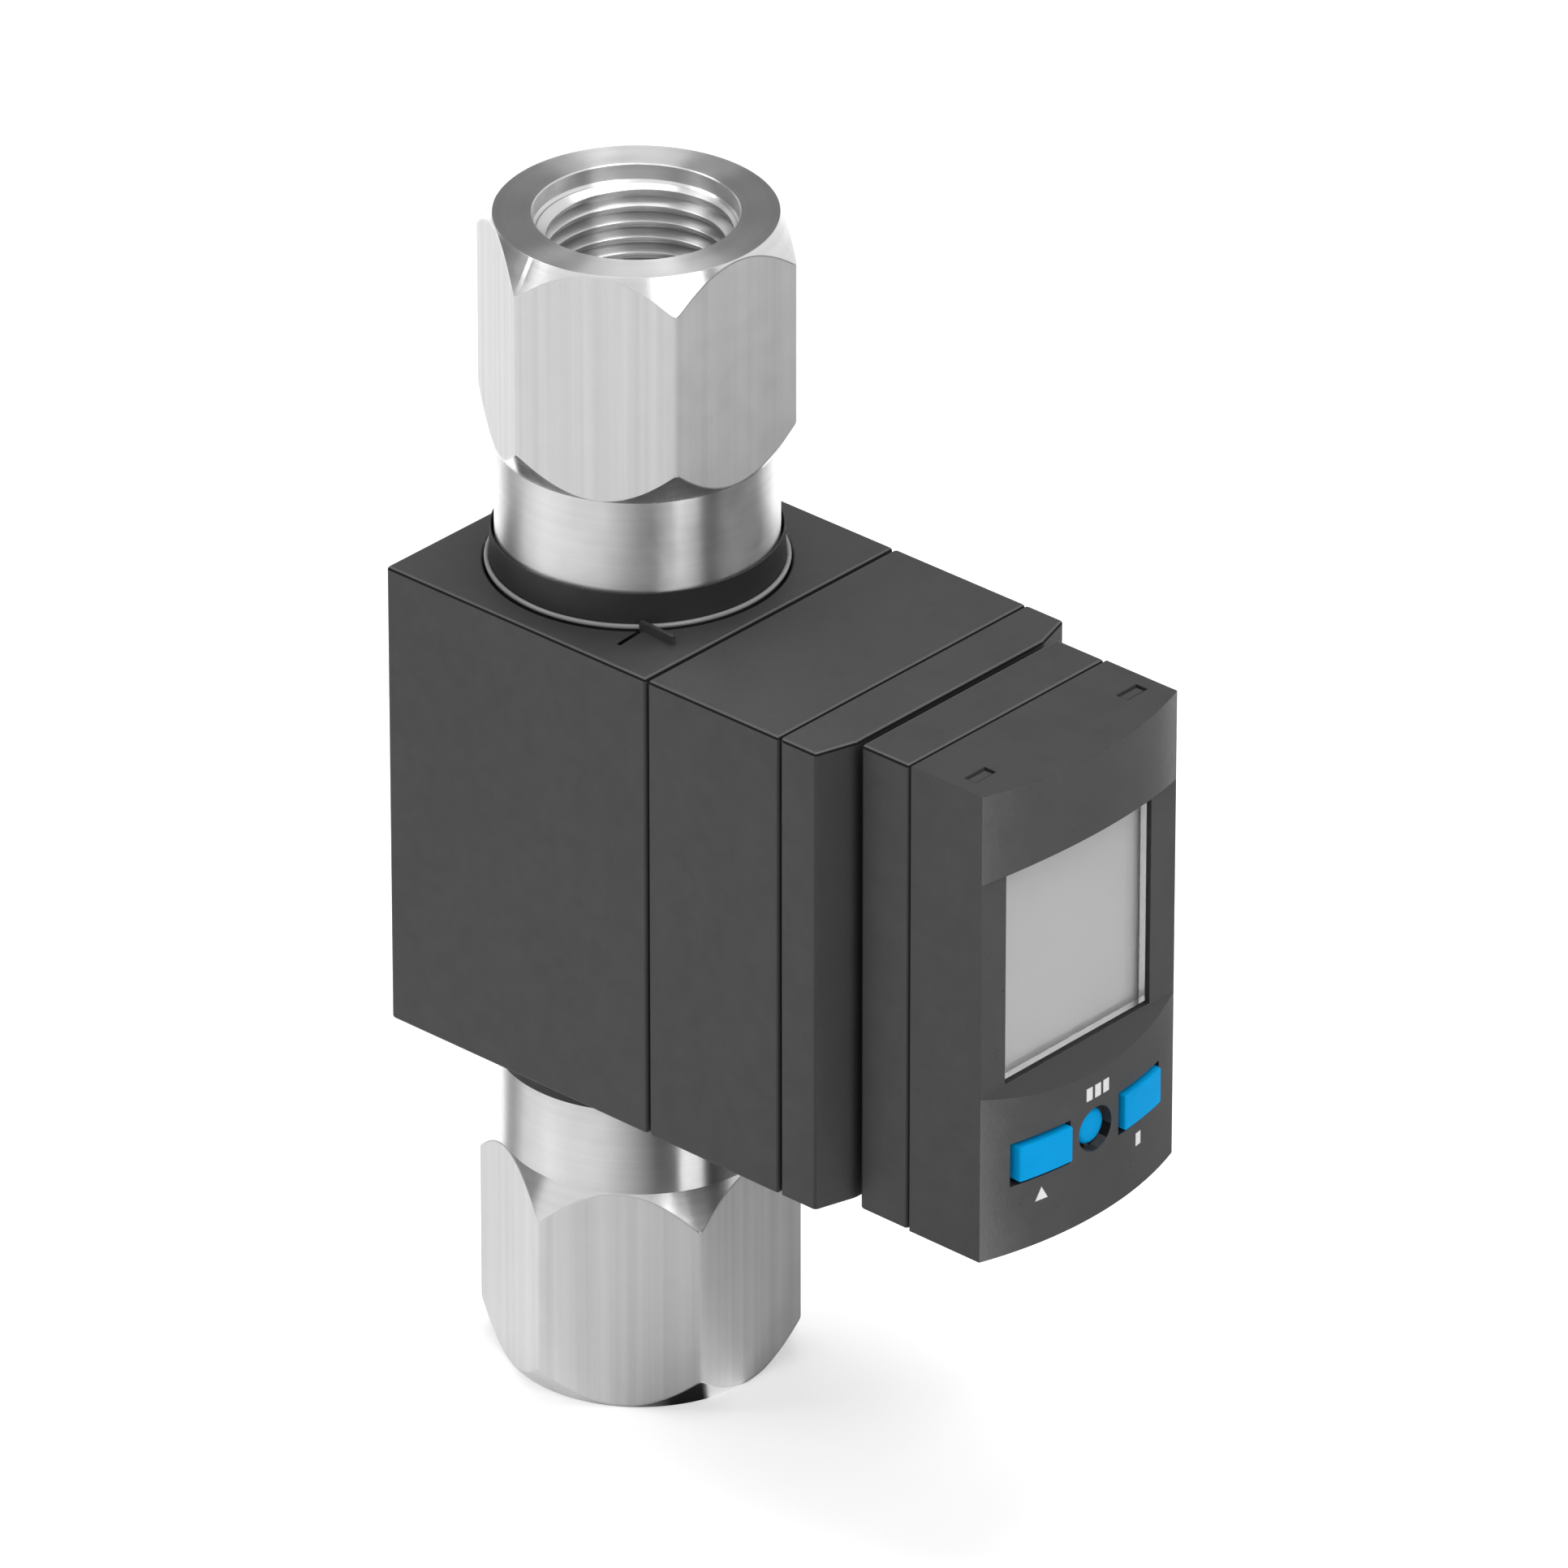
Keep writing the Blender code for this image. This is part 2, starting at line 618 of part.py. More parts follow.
def add_measuring_tube():
    """The tube with the slot of its bluff body and the boss of its sensor."""
    place = Vector((0.0, PIPE_Y, 0.0))
    tube = turned("measuring_tube", measuring_tube_profile(), ALONG_Z, place, tube_plastic())
    start = Vector((0.0, PIPE_Y - FLOW_RADIUS - JOIN_DEPTH, SENSOR_ABOVE_CENTRE))
    rise = TUBE_RADIUS - FLOW_RADIUS - JOIN_DEPTH + BOSS_RISE
    join(tube, rod("sensor_boss", BOSS_RADIUS, rise, ALONG_MINUS_Y, start))
    centre = Vector((0.0, PIPE_Y, SENSOR_ABOVE_CENTRE))
    reach = TUBE_RADIUS + BOSS_RISE + OVERCUT
    bore = rod("sensor_bore", CARRIER_RADIUS + SEAT_GAP, reach, ALONG_MINUS_Y, centre)
    far = PIPE_Y + FLOW_RADIUS + BLUFF_SEAT + SEAT_GAP
    near = PIPE_Y - TUBE_RADIUS - OVERCUT
    slot = standing_plate("bluff_slot", bluff_outline(SEAT_GAP), far, near)
    cut(tube, bore, slot)


def add_bluff_body():
    """The bar across the flow, set in from the front of the tube."""
    far = PIPE_Y + FLOW_RADIUS + BLUFF_SEAT
    near = PIPE_Y - TUBE_RADIUS + SEAT_GAP
    standing_plate("bluff_body", bluff_outline(), far, near, stainless())


def add_sensor():
    """The carrier in the tube's boss, its seal, and the paddle that reaches across the bore."""
    boss_front = TUBE_RADIUS + BOSS_RISE
    tip = FLOW_RADIUS + SEAT_GAP
    seal_middle = tip + SENSOR_SEAL_FROM_TIP
    groove = CARRIER_RADIUS - SENSOR_GROOVE_DEPTH
    half_groove = (SENSOR_GROOVE_DEPTH + SEAT_GAP) / 2
    profile = [
        (CARRIER_FLANGE_RADIUS, PIPE_Y - CARRIER_FRONT),
        (CARRIER_FLANGE_RADIUS, boss_front + SEAT_GAP),
        (CARRIER_RADIUS, boss_front + SEAT_GAP),
        (CARRIER_RADIUS, seal_middle + half_groove),
        (groove, seal_middle + half_groove),
        (groove, seal_middle - half_groove),
        (CARRIER_RADIUS, seal_middle - half_groove),
        (CARRIER_RADIUS, tip),
        (0.0, tip),
        (0.0, PIPE_Y - CARRIER_FRONT),
    ]
    axis = Vector((0.0, PIPE_Y, SENSOR_ABOVE_CENTRE))
    carrier = turned("sensor_carrier", profile, ALONG_MINUS_Y, axis, tube_plastic(), SMALL_STEPS)
    root = PIPE_Y - tip - PADDLE_ROOT
    slot = wide_block(
        "paddle_slot",
        PADDLE_THICKNESS / 2 + SEAT_GAP,
        PADDLE_LENGTH / 2 + SEAT_GAP,
        PIPE_Y - tip + OVERCUT,
        root - SEAT_GAP,
        z=SENSOR_ABOVE_CENTRE,
    )
    cut(carrier, slot)
    far = PIPE_Y + FLOW_RADIUS - PADDLE_TIP_ROOM
    paddle = wide_block(
        "sensor_paddle",
        PADDLE_THICKNESS / 2,
        PADDLE_LENGTH / 2,
        far,
        root,
        stainless(),
        z=SENSOR_ABOVE_CENTRE,
    )
    round_edges(paddle, PADDLE_EDGE)
    bore = CARRIER_RADIUS + SEAT_GAP
    section = (bore - groove) / 2 - SEAL_GAP
    place = Vector((0.0, PIPE_Y - seal_middle, SENSOR_ABOVE_CENTRE))
    o_ring("sensor_seal", (bore + groove) / 2, section, ALONG_MINUS_Y, place, SMALL_STEPS)


def add_sensor_leads():
    """The two stiff wires from the sensor's carrier, through the partition, to the board."""
    rear = CARRIER_FRONT - SEAT_GAP
    length = rear - SIGNAL_BOARD_REAR - SEAT_GAP
    for number, x in enumerate((-SENSOR_LEAD_PITCH / 2, SENSOR_LEAD_PITCH / 2), 1):
        start = Vector((x, rear, SENSOR_ABOVE_CENTRE))
        name = f"sensor_lead_{number}"
        rod(name, SENSOR_LEAD_RADIUS, length, ALONG_MINUS_Y, start, gold(), PIN_STEPS)


def screw_places():
    """The four screws' places in X and Z."""
    return [(x, z) for x in (-SCREW_X, SCREW_X) for z in (-SCREW_Z, SCREW_Z)]


def screw_columns(name, radius, rear, front):
    """Four helper cylinders on the screws' axes, from rear to front."""
    return [
        rod(f"{name}_{number}", radius, rear - front, ALONG_MINUS_Y, Vector((x, rear, z)))
        for number, (x, z) in enumerate(screw_places(), 1)
    ]


def add_tube_housing():
    """The rear block: a shell open to the front, holed for the pipe and the screws."""
    housing = wide_block(
        "tube_housing", HALF_WIDTH, HALF_HEIGHT, 0.0, FIRST_SEAM, housing_plastic()
    )
    round_edges(housing, HOUSING_EDGE)
    cavity = wide_block(
        "tube_cavity", CAVITY_HALF_WIDTH, CAVITY_HALF_HEIGHT, -REAR_WALL, FIRST_SEAM - OVERCUT
    )
    cut(housing, cavity)
    boss_front = SCREW_SEAT_Y - SCREW_SEAT_WALL
    boss_radius = HEAD_SEAT_RADIUS + COLUMN_WALL
    inside_wall = JOIN_DEPTH - REAR_WALL
    join(housing, *screw_columns("screw_boss", boss_radius, inside_wall, boss_front))
    column_front = FIRST_SEAM + SEAT_GAP
    join(housing, *screw_columns("tube_column", COLUMN_RADIUS, inside_wall, column_front))
    hole_depth = FIRST_SEAM - OVERCUT
    cut(housing, *screw_columns("tube_screw_hole", SCREW_HOLE_RADIUS, OVERCUT, hole_depth))
    cut(housing, *screw_columns("head_seat", HEAD_SEAT_RADIUS, OVERCUT, SCREW_SEAT_Y))
    cut(housing, neck_hole("upper_neck_hole", ALONG_Z, HALF_HEIGHT))
    cut(housing, neck_hole("lower_neck_hole", ALONG_MINUS_Z, -HALF_HEIGHT))


def neck_hole(name, direction, housing_end):
    """Cuts one end wall for its neck ring, with a chamfered rim."""
    rim = NECK_HOLE_RADIUS + RIM_CHAMFER
    low = -END_WALL - FLANGE_THICKNESS / 2
    profile = [
        (rim + OVERCUT, OVERCUT),
        (NECK_HOLE_RADIUS, -RIM_CHAMFER),
        (NECK_HOLE_RADIUS, low),
        (0.0, low),
        (0.0, OVERCUT),
    ]
    return turned(name, profile, direction, Vector((0.0, PIPE_Y, housing_end)))


def add_electronics_housing():
    """The middle block: a shell open to the front, with a partition at its rear."""
    rear = FIRST_SEAM - SEAT_GAP
    housing = wide_block(
        "electronics_housing", HALF_WIDTH, HALF_HEIGHT, rear, SECOND_SEAM, housing_plastic()
    )
    round_edges(housing, HOUSING_EDGE)
    half_height = HALF_HEIGHT - SIDE_WALL
    cavity_front = SECOND_SEAM - OVERCUT
    cavity = wide_block(
        "board_cavity", CAVITY_HALF_WIDTH, half_height, PARTITION_FRONT, cavity_front
    )
    cut(housing, cavity)
    column_rear = rear - PARTITION / 2
    column_front = SECOND_SEAM + SEAT_GAP
    join(housing, *screw_columns("board_column", COLUMN_RADIUS, column_rear, column_front))
    cut(housing, *screw_columns("board_screw_hole", SCREW_HOLE_RADIUS, rear + OVERCUT, cavity_front))
    for number, (x, z) in enumerate(post_places(), 1):
        start = Vector((x, column_rear, z))
        length = BOARD_STANDOFF + PARTITION / 2 - SEAT_GAP
        join(housing, rod(f"board_post_{number}", POST_RADIUS, length, ALONG_MINUS_Y, start))
    wire_hole = Vector((0.0, rear + OVERCUT, SENSOR_ABOVE_CENTRE))
    length = PARTITION + 2 * OVERCUT
    cut(housing, rod("wire_hole", CARRIER_RADIUS, length, ALONG_MINUS_Y, wire_hole))
    start = Vector((CAVITY_HALF_WIDTH - OVERCUT, PLUG_Y, 0.0))
    length = SIDE_WALL + 2 * OVERCUT
    cut(housing, rod("plug_hole", PLUG_RADIUS + SEAT_GAP, length, ALONG_X, start, sides=PLUG_STEPS))


def board_half_width():
    """Half of the signal board, which ends short of the plug's tail."""
    plug_tail = CAVITY_HALF_WIDTH - SEAT_GAP - PLUG_NUT_THICKNESS - PLUG_TAIL - PIN_TAIL
    return min(plug_tail, SCREW_X - COLUMN_RADIUS) - BOARD_MARGIN


def board_half_height():
    return HALF_HEIGHT - SIDE_WALL - BOARD_MARGIN


def post_places():
    """The four board posts' places in X and Z."""
    x = board_half_width() - POST_INSET
    z = board_half_height() - POST_INSET
    return [(-x, -z), (-x, z), (x, -z), (x, z)]


def add_signal_board():
    """The circuit board on its posts, with three components."""
    board = wide_block(
        "signal_board",
        board_half_width(),
        board_half_height(),
        SIGNAL_BOARD_REAR,
        SIGNAL_BOARD_FRONT,
        board_green(),
    )
    for number, height in enumerate((-2 * COMPONENT_SIZE, 0.0, 2 * COMPONENT_SIZE), 1):
        component = wide_block(
            f"component_{number}",
            COMPONENT_SIZE / 2,
            COMPONENT_SIZE / 2,
            SIGNAL_BOARD_FRONT + JOIN_DEPTH,
            SIGNAL_BOARD_FRONT - COMPONENT_HEIGHT,
            z=height,
        )
        join(board, component)


def add_display_lead():
    """The lead from the signal board to the head, straight along the axis that it twists about."""
    rear = SIGNAL_BOARD_FRONT - COMPONENT_HEIGHT - SEAT_GAP
    length = rear - DISPLAY_BOARD_REAR - SEAT_GAP
    start = Vector((0.0, rear, 0.0))
    rod("display_lead", DISPLAY_LEAD_RADIUS, length, ALONG_MINUS_Y, start, black_rubber())


def add_front_block():
    """The front block: a lid with a facet down each side and the swivel's hole."""
    rear = SECOND_SEAM - SEAT_GAP
    side = BLOCK_FRONT + FACET_DEPTH
    flat = HALF_WIDTH - FACET_WIDTH
    outline = [
        (HALF_WIDTH, rear),
        (-HALF_WIDTH, rear),
        (-HALF_WIDTH, side),
        (-flat, BLOCK_FRONT),
        (flat, BLOCK_FRONT),
        (HALF_WIDTH, side),
    ]
    lid = extruded("front_block", outline, HALF_HEIGHT, ALONG_Z, housing_plastic())
    round_edges(lid, HOUSING_EDGE, least_angle=SHALLOW_EDGE)
    inside = BLOCK_FRONT + FRONT_WALL
    half_height = HALF_HEIGHT - SIDE_WALL
    pocket_half = HALF_WIDTH - SIDE_WALL
    cut(lid, wide_block("lid_pocket", pocket_half, half_height, rear + OVERCUT, inside))
    boss_front = inside - JOIN_DEPTH
    join(lid, *screw_columns("lid_boss", COLUMN_RADIUS, rear - SEAT_GAP, boss_front))
    depth = SECOND_SEAM - SCREW_ENGAGEMENT - SEAT_GAP
    cut(lid, *screw_columns("lid_screw_hole", SCREW_HOLE_RADIUS, rear + OVERCUT, depth))
    start = Vector((0.0, inside + OVERCUT, 0.0))
    length = FRONT_WALL + 2 * OVERCUT
    radius = HUB_RADIUS + SEAT_GAP
    cut(lid, rod("hub_hole", radius, length, ALONG_MINUS_Y, start, sides=PLUG_STEPS))


def add_housing_screws():
    """Four long screws, socket heads to the rear, which clamp the three blocks."""
    shank = SECOND_SEAM - SCREW_ENGAGEMENT - SCREW_SEAT_Y
    under_head = -SEAT_GAP
    head_top = SCREW_HEAD_HEIGHT - SEAT_GAP
    profile = [
        (SCREW_HEAD_RADIUS, head_top),
        (SCREW_HEAD_RADIUS, under_head),
        (SCREW_RADIUS, under_head),
        (SCREW_RADIUS, shank),
        (0.0, shank),
        (0.0, head_top),
    ]
    for number, (x, z) in enumerate(screw_places(), 1):
        place = Vector((x, SCREW_SEAT_Y + 2 * SEAT_GAP, z))
        name = f"housing_screw_{number}"
        screw = turned(name, profile, ALONG_Y, place, steel(), SMALL_STEPS)
        start = Vector((x, place.y + head_top + OVERCUT, z))
        length = SCREW_SOCKET_DEPTH + OVERCUT
        radius = SCREW_SOCKET_RADIUS
        cut(screw, rod(name + "_socket", radius, length, ALONG_MINUS_Y, start, sides=HEX_SIDES))


def plug_pin_places():
    """The pins' places in Y and Z: a middle pin and a circle of pins round it."""
    turns = [2 * math.pi * (i + 0.5) / PIN_COUNT for i in range(PIN_COUNT)]
    ring_of_pins = [
        (PLUG_Y + PIN_CIRCLE_RADIUS * math.cos(a), PIN_CIRCLE_RADIUS * math.sin(a)) for a in turns
    ]
    return [(PLUG_Y, 0.0)] + ring_of_pins


def add_plug():
    """The M12 plug connector: shell, seal, nut, contact carrier and pins."""
    seal_outer = HALF_WIDTH + SEAT_GAP
    flange_inner = seal_outer + PLUG_SEAL_THICKNESS + SEAT_GAP
    flange_outer = flange_inner + PLUG_FLANGE
    end = HALF_WIDTH + PLUG_LENGTH
    nut_outer = CAVITY_HALF_WIDTH - SEAT_GAP
    nut_inner = nut_outer - PLUG_NUT_THICKNESS
    tail = nut_inner - PLUG_TAIL
    bore = PLUG_RADIUS - PLUG_WALL
    profile = [
        (PLUG_RADIUS, end),
        (PLUG_RADIUS, flange_outer),
        (PLUG_FLANGE_RADIUS, flange_outer),
        (PLUG_FLANGE_RADIUS, flange_inner),
        (PLUG_RADIUS, flange_inner),
        (PLUG_RADIUS, tail),
        (bore, tail),
        (bore, end),
    ]
    place = Vector((0.0, PLUG_Y, 0.0))
    turned("connector_shell", profile, ALONG_X, place, nickel(), PLUG_STEPS)
    hole = PLUG_RADIUS + SEAT_GAP
    seal_high = seal_outer + PLUG_SEAL_THICKNESS
    radius = PLUG_FLANGE_RADIUS - SEAT_GAP
    ring("connector_seal", hole, radius, seal_outer, seal_high, ALONG_X, place, black_rubber())
    corner = hexagon_corner(PLUG_NUT_ACROSS_FLATS)
    nut_place = Vector((nut_inner, PLUG_Y, 0.0))
    flats_to_sides = ALONG_X @ Matrix.Rotation(math.pi / HEX_SIDES, 4, "Z")
    nut = rod(
        "connector_nut",
        corner,
        PLUG_NUT_THICKNESS,
        flats_to_sides,
        nut_place,
        nickel(),
        sides=HEX_SIDES,
    )
    start = Vector((nut_inner - OVERCUT, PLUG_Y, 0.0))
    length = PLUG_NUT_THICKNESS + 2 * OVERCUT
    cut(nut, rod("nut_hole", hole, length, ALONG_X, start, sides=PLUG_STEPS))
    add_plug_contacts(tail, end - PLUG_CAVITY_DEPTH, bore - SEAT_GAP)


def add_plug_contacts(tail, face, radius):
    """The contact carrier with its key, from the plug's tail to its face, and its pins."""
    start = Vector((tail, PLUG_Y, 0.0))
    length = face - tail
    finish = housing_plastic()
    insert = rod("connector_insert", radius, length, ALONG_X, start, finish, PLUG_STEPS)
    half_key = KEY_WIDTH / 2
    key_low = (face - JOIN_DEPTH, PLUG_Y - half_key, radius - KEY_HEIGHT)
    key_high = (face + KEY_LENGTH, PLUG_Y + half_key, math.sqrt(radius**2 - half_key**2))
    join(insert, block("plug_key", key_low, key_high))
    hole_radius = PIN_RADIUS + SEAT_GAP
    through = length + 2 * OVERCUT
    pin_length = PIN_TAIL + length + PIN_LENGTH
    for number, (y, z) in enumerate(plug_pin_places(), 1):
        hole_start = Vector((tail - OVERCUT, y, z))
        hole_name = f"pin_hole_{number}"
        cut(insert, rod(hole_name, hole_radius, through, ALONG_X, hole_start, sides=PIN_STEPS))
        pin_start = Vector((tail - PIN_TAIL, y, z))
        pin_name = f"connector_pin_{number}"
        rod(pin_name, PIN_RADIUS, pin_length, ALONG_X, pin_start, gold(), PIN_STEPS)


def add_swivel():
    """The hollow hub that the head turns on, its clip behind the wall and its washer in the gap."""
    wall_inside = BLOCK_FRONT + FRONT_WALL
    groove_front = wall_inside + SEAT_GAP
    groove_rear = groove_front + CLIP_THICKNESS + 2 * SEAT_GAP
    tail = groove_rear + HUB_TAIL
    flange_rear = HEAD_REAR - HEAD_WALL - SEAT_GAP
    flange_front = flange_rear - HUB_FLANGE
    groove = HUB_RADIUS - CLIP_DEPTH
    bore = HUB_RADIUS - HUB_WALL
    profile = [
        (HUB_FLANGE_RADIUS, -flange_front),
        (HUB_FLANGE_RADIUS, -flange_rear),
        (HUB_RADIUS, -flange_rear),
        (HUB_RADIUS, -groove_front),
        (groove, -groove_front),
        (groove, -groove_rear),
        (HUB_RADIUS, -groove_rear),
        (HUB_RADIUS, -tail),
        (bore, -tail),
        (bore, -flange_front),
    ]
    turned("swivel_hub", profile, ALONG_MINUS_Y, Vector(), housing_plastic(), PLUG_STEPS)
    clip_front = groove_front + SEAT_GAP
    clip_rear = clip_front + CLIP_THICKNESS
    inner = groove + SEAT_GAP
    outer = groove + CLIP_WIDTH
    clip = ring(
        "swivel_clip", inner, outer, -clip_rear, -clip_front, ALONG_MINUS_Y, Vector(), steel()
    )
    mouth_low = (-CLIP_MOUTH / 2, clip_front - OVERCUT, -outer - OVERCUT)
    mouth_high = (CLIP_MOUTH / 2, clip_rear + OVERCUT, -inner / 2)
    cut(clip, block("clip_mouth", mouth_low, mouth_high))
    low = -BLOCK_FRONT + SEAT_GAP
    high = -HEAD_REAR - SEAT_GAP
    bore = HUB_RADIUS + SEAT_GAP
    radius = bore + WASHER_WIDTH
    ring("swivel_washer", bore, radius, low, high, ALONG_MINUS_Y, Vector(), black_rubber())


def latch_places():
    """The four latches: their middle in X and the side, 1 above and -1 below."""
    return [(x, side) for x in (-LATCH_X, LATCH_X) for side in (1, -1)]


def latch_hook_front():
    return HEAD_SEAM - LATCH_REACH


def latch_piece(name, x, side, heights, rear, front):
    """A box on a latch's place, between two heights above the head's centre."""
    low, high = sorted(side * height for height in heights)
    half = LATCH_WIDTH / 2
    return block(name, (x - half, front, low), (x + half, rear, high))


def add_head_back_shell():
    """The head's rear half, with four latches that reach into the bezel."""
    shell = wide_block(
        "head_back_shell",
        HEAD_HALF_WIDTH,
        HEAD_HALF_HEIGHT,
        HEAD_REAR,
        HEAD_SEAM,
        housing_plastic(),
    )
    round_edges(shell, HEAD_EDGE)
    inside = HEAD_REAR - HEAD_WALL
    front = HEAD_SEAM - OVERCUT
    cavity = wide_block(
        "back_cavity", HEAD_INSIDE_HALF_WIDTH, HEAD_INSIDE_HALF_HEIGHT, inside, front
    )
    cut(shell, cavity)
    wall = HEAD_INSIDE_HALF_HEIGHT
    for number, (x, side) in enumerate(latch_places(), 1):
        root_heights = (wall - LATCH_THICKNESS, wall + JOIN_DEPTH)
        root_rear = HEAD_SEAM + LATCH_ROOT
        root_front = HEAD_SEAM + SEAT_GAP
        root = latch_piece(f"latch_root_{number}", x, side, root_heights, root_rear, root_front)
        arm_heights = (LATCH_TOP - LATCH_THICKNESS, LATCH_TOP)
        arm_rear = HEAD_SEAM + LATCH_ROOT / 2
        arm_front = latch_hook_front()
        arm = latch_piece(f"latch_arm_{number}", x, side, arm_heights, arm_rear, arm_front)
        hook_heights = (LATCH_TOP - JOIN_DEPTH, LATCH_TOP + LATCH_HOOK)
        hook_rear = arm_front + LATCH_HOOK_LENGTH
        hook_front = arm_front + JOIN_DEPTH
        hook = latch_piece(f"latch_hook_{number}", x, side, hook_heights, hook_rear, hook_front)
        join(shell, root, arm, hook)
    for number, (x, z) in enumerate(head_post_places(), 1):
        start = Vector((x, HEAD_REAR - HEAD_WALL / 2, z))
        length = start.y - DISPLAY_BOARD_REAR - SEAT_GAP
        join(shell, rod(f"head_post_{number}", POST_RADIUS, length, ALONG_MINUS_Y, start))
    start = Vector((0.0, HEAD_REAR + OVERCUT, 0.0))
    length = HEAD_WALL + 2 * OVERCUT
    radius = HUB_RADIUS + SEAT_GAP
    cut(shell, rod("head_hub_hole", radius, length, ALONG_MINUS_Y, start, sides=PLUG_STEPS))


def head_post_places():
    """The four posts that carry the display board, in X and Z."""
    x = HEAD_INSIDE_HALF_WIDTH - SEAT_GAP - POST_INSET
    z = DISPLAY_BOARD_HALF_HEIGHT - POST_INSET
    return [(-x, -z), (-x, z), (x, -z), (x, z)]


def bay_cutter():
    """Cuts the window bay flat into the bulge, its upper and lower edges sloping away."""
    past = HEAD_FRONT - OVERCUT
    run = (HEAD_CORNER - past) / FRONT_BULGE
    outline = [
        (-HEAD_CORNER, BAY_FOOT),
        (-HEAD_CORNER, BAY_TOP),
        (-past, BAY_TOP + TOP_BAR_RISE * run),
        (-past, BAY_FOOT - LEDGE_DROP * run),
    ]
    across = Matrix.Rotation(-QUARTER_TURN, 4, "Z") @ Matrix.Rotation(QUARTER_TURN, 4, "X")
    return extruded("window_bay", outline, HEAD_HALF_WIDTH + OVERCUT, across)


def add_head_bezel():
    """The head's front half: bulged face, window bay, button holes and latch pockets."""
    rear = HEAD_SEAM - SEAT_GAP
    outline = bulge_points(HEAD_HALF_WIDTH)
    outline += [(HEAD_HALF_WIDTH, rear), (-HEAD_HALF_WIDTH, rear)]
    bezel = extruded("head_bezel", outline, HEAD_HALF_HEIGHT, ALONG_Z, housing_plastic())
    round_edges(bezel, HEAD_EDGE)
    cavity = wide_block(
        "bezel_cavity",
        HEAD_INSIDE_HALF_WIDTH,
        HEAD_INSIDE_HALF_HEIGHT,
        rear + OVERCUT,
        BEZEL_INSIDE,
    )
    window_z = (WINDOW_TOP + WINDOW_FOOT) / 2
    window_half = (WINDOW_TOP - WINDOW_FOOT) / 2
    inside = BEZEL_INSIDE + OVERCUT
    past = HEAD_FRONT - OVERCUT
    window = wide_block("window", WINDOW_WIDTH / 2, window_half, inside, past, z=window_z)
    cut(bezel, cavity, bay_cutter(), window)
    for side in (-1, 1):
        hole = wide_block(
            f"button_hole_{side}",
            BUTTON_WIDTH / 2 + SEAT_GAP,
            BUTTON_HEIGHT / 2 + SEAT_GAP,
            inside,
            past,
            x=side * BUTTON_PITCH / 2,
            z=BUTTON_Z,
        )
        cut(bezel, hole)
    start = Vector((0.0, inside, BUTTON_Z))
    radius = ROUND_BUTTON_RADIUS + SEAT_GAP
    cut(bezel, rod("round_hole", radius, inside - past, ALONG_MINUS_Y, start))
    for number, (x, side) in enumerate(latch_places(), 1):
        low, high = sorted(side * h for h in (LATCH_TOP - SEAT_GAP, HEAD_HALF_HEIGHT + OVERCUT))
        half = LATCH_WIDTH / 2 + SEAT_GAP
        front = latch_hook_front() + JOIN_DEPTH - SEAT_GAP
        back = latch_hook_front() + LATCH_HOOK_LENGTH + SEAT_GAP
        cut(bezel, block(f"latch_pocket_{number}", (x - half, front, low), (x + half, back, high)))


def add_window_and_panel():
    """The clear window, the display panel behind it and the frame that holds the panel."""
    middle = (WINDOW_TOP + WINDOW_FOOT) / 2
    half_height = (WINDOW_TOP - WINDOW_FOOT) / 2
    half_width = WINDOW_WIDTH / 2
    pane_front = BEZEL_INSIDE + SEAT_GAP
    pane = wide_block(
        "window_pane",
        half_width + PANE_LAP,
        half_height + PANE_LAP,
        PANE_REAR,
        pane_front,
        clear_window(),
        z=middle,
    )
    land = wide_block(
        "window_land",
        half_width - SEAT_GAP,
        half_height - SEAT_GAP,
        pane_front + JOIN_DEPTH,
        HEAD_CORNER + PANE_RECESS,
        z=middle,
    )
    join(pane, land)
    panel_half_width = half_width + PANEL_LAP
    panel_half_height = half_height + PANEL_LAP
    wide_block(
        "lcd_panel",
        panel_half_width,
        panel_half_height,
        PANEL_REAR,
        PANEL_FRONT,
        display_grey(),
        z=middle,
    )
    wall = SEAT_GAP + FRAME_WALL
    frame = wide_block(
        "lcd_frame",
        panel_half_width + wall,
        panel_half_height + wall,
        FRAME_REAR,
        PANEL_FRONT,
        frame_white(),
        z=middle,
    )
    pocket = wide_block(
        "panel_pocket",
        panel_half_width + SEAT_GAP,
        panel_half_height + SEAT_GAP,
        PANEL_REAR + SEAT_GAP,
        PANEL_FRONT - OVERCUT,
        z=middle,
    )
    cut(frame, pocket)


def button_places():
    """The three switches' places in X."""
    return {"button_a": -BUTTON_PITCH / 2, "button_set": 0.0, "button_b": BUTTON_PITCH / 2}


def add_display_board():
    """The head's circuit board and the three dome switches on it."""
    half_width = HEAD_INSIDE_HALF_WIDTH - SEAT_GAP
    wide_block(
        "display_board",
        half_width,
        DISPLAY_BOARD_HALF_HEIGHT,
        DISPLAY_BOARD_REAR,
        DISPLAY_BOARD_FRONT,
        board_green(),
    )
    base = -DISPLAY_BOARD_FRONT + SEAT_GAP
    top = -DOME_FRONT
    shoulder = top - DOME_HEIGHT
    profile = [
        (DOME_TOP_RADIUS, top),
        (DOME_RADIUS, shoulder),
        (SWITCH_RADIUS, shoulder),
        (SWITCH_RADIUS, base),
        (0.0, base),
        (0.0, top),
    ]
    for name, x in button_places().items():
        place = Vector((x, 0.0, BUTTON_Z))
        turned(name + "_switch", profile, ALONG_MINUS_Y, place, steel(), SMALL_STEPS)


